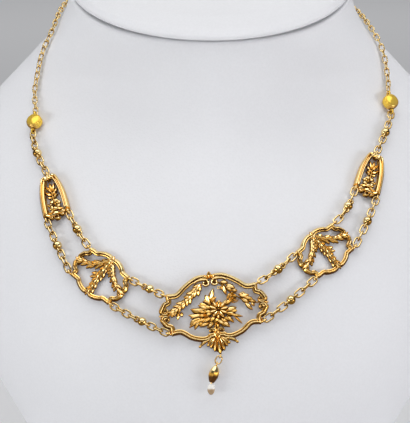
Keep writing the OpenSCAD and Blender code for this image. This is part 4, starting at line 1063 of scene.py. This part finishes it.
class NECKLACE_OT_metals(bpy.types.Operator):
    """Make the golds that the metal pieces share"""
    bl_idname = "necklace.metals"
    bl_label = "Golds"

    def execute(self, context):
        look = context.scene.necklace_look
        satin_gold("cast_gold", look)
        polished_gold("bright_gold", look, look.polished)
        polished_gold("button_gold", look, look.button, lift=0.6, metal=0.5)
        polished_gold("fine_gold", look, look.polished, lift=0.5)
        return {"FINISHED"}


class NECKLACE_OT_stage(bpy.types.Operator):
    """Lay the pale floor, hang the softboxes and set the camera"""
    bl_idname = "necklace.stage"
    bl_label = "Floor, lights and camera"

    def softbox(self, name, place, aim, size, watts, tint=(1, 1, 1)):
        lamp = bpy.data.lights.new(name, "AREA")
        lamp.shape = "RECTANGLE"
        lamp.size, lamp.size_y = size
        lamp.energy = watts
        lamp.color = tint
        thing = placed(name, lamp)
        thing.location = place
        thing.rotation_euler = (Vector(place) - Vector(aim)).to_track_quat("Z", "Y").to_euler()

    def execute(self, context):
        scene = context.scene
        stage = scene.necklace_stage
        half = 6.0
        corners = [(-half, -half, 0), (half, -half, 0), (half, half, 0), (-half, half, 0)]
        mesh = bpy.data.meshes.new("floor")
        mesh.from_pydata(corners, [], [(0, 1, 2, 3)])
        mesh.materials.append(floor_finish("pale_floor", stage))
        floor = placed("floor", mesh)
        world = bpy.data.worlds.new("room")
        world.use_nodes = True
        background = world.node_tree.nodes["Background"]
        background.inputs["Color"].default_value = (0.9, 0.93, 1, 1)
        background.inputs["Strength"].default_value = stage.world
        scene.world = world
        chest, side = (0, -0.03, 0.05), (0.5, 0.3)
        self.softbox("left_softbox", (-0.8, -0.52, 0.08), chest, side, stage.key, (0.98, 0.99, 1))
        self.softbox("right_softbox", (0.8, -0.52, 0.08), chest, side, stage.fill, (0.98, 0.98, 1))
        self.softbox("front_softbox", (0, -0.85, 0.52), (0, -0.08, 0.13), (0.6, 0.22), stage.front)
        self.softbox("top_softbox", (0, -0.2, 0.95), (0, -0.1, 0.15), (1.6, 0.7), stage.top)
        self.softbox("back_softbox", (0.1, 0.9, 0.7), (0, -0.03, 0.15), (0.8, 0.5), stage.back)
        self.softbox("floor_softbox", (0, 2.2, 1.6), (0, 2, 0), (2.5, 1.5), stage.floor_light)
        camera = bpy.data.cameras.new("camera")
        camera.lens = stage.lens
        camera.sensor_width = 36
        camera.clip_end = 30
        thing = placed("camera", camera)
        target = Vector((-0.002, 0, 0.141))
        away = Vector((0, -math.cos(stage.elevation), math.sin(stage.elevation)))
        thing.location = target + stage.distance * away
        thing.rotation_euler = away.to_track_quat("Z", "Y").to_euler()
        scene.camera = thing
        scene.view_settings.view_transform = "Standard"
        return {"FINISHED"}


class NECKLACE_PT_panel(bpy.types.Panel):
    """Settings and steps of the draped necklace"""
    bl_idname = "NECKLACE_PT_panel"
    bl_label = "Draped necklace"
    bl_space_type = "VIEW_3D"
    bl_region_type = "UI"
    bl_category = "Necklace"

    def draw(self, context):
        for group in GROUPS:
            box = self.layout.box()
            for name in getattr(context.scene, group).bl_rna.properties.keys():
                if name not in ("rna_type", "name"):
                    box.prop(getattr(context.scene, group), name)
        for step in STEPS:
            self.layout.operator(step.bl_idname)


STEPS = (
    NECKLACE_OT_stage, NECKLACE_OT_metals, NECKLACE_OT_bust, NECKLACE_OT_center, NECKLACE_OT_sides,
    NECKLACE_OT_chains, NECKLACE_OT_drop,
)
CLASSES = (*GROUPS.values(), *STEPS, NECKLACE_PT_panel)


def register():
    for cls in CLASSES:
        bpy.utils.register_class(cls)
    for name, group in GROUPS.items():
        setattr(bpy.types.Scene, name, bpy.props.PointerProperty(type=group))


def unregister():
    for name in GROUPS:
        delattr(bpy.types.Scene, name)
    for cls in reversed(CLASSES):
        bpy.utils.unregister_class(cls)


def main():
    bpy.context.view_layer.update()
    register()
    for step in STEPS:
        group, name = step.bl_idname.split(".")
        getattr(getattr(bpy.ops, group), name)()


if __name__ == "__main__":
    main()
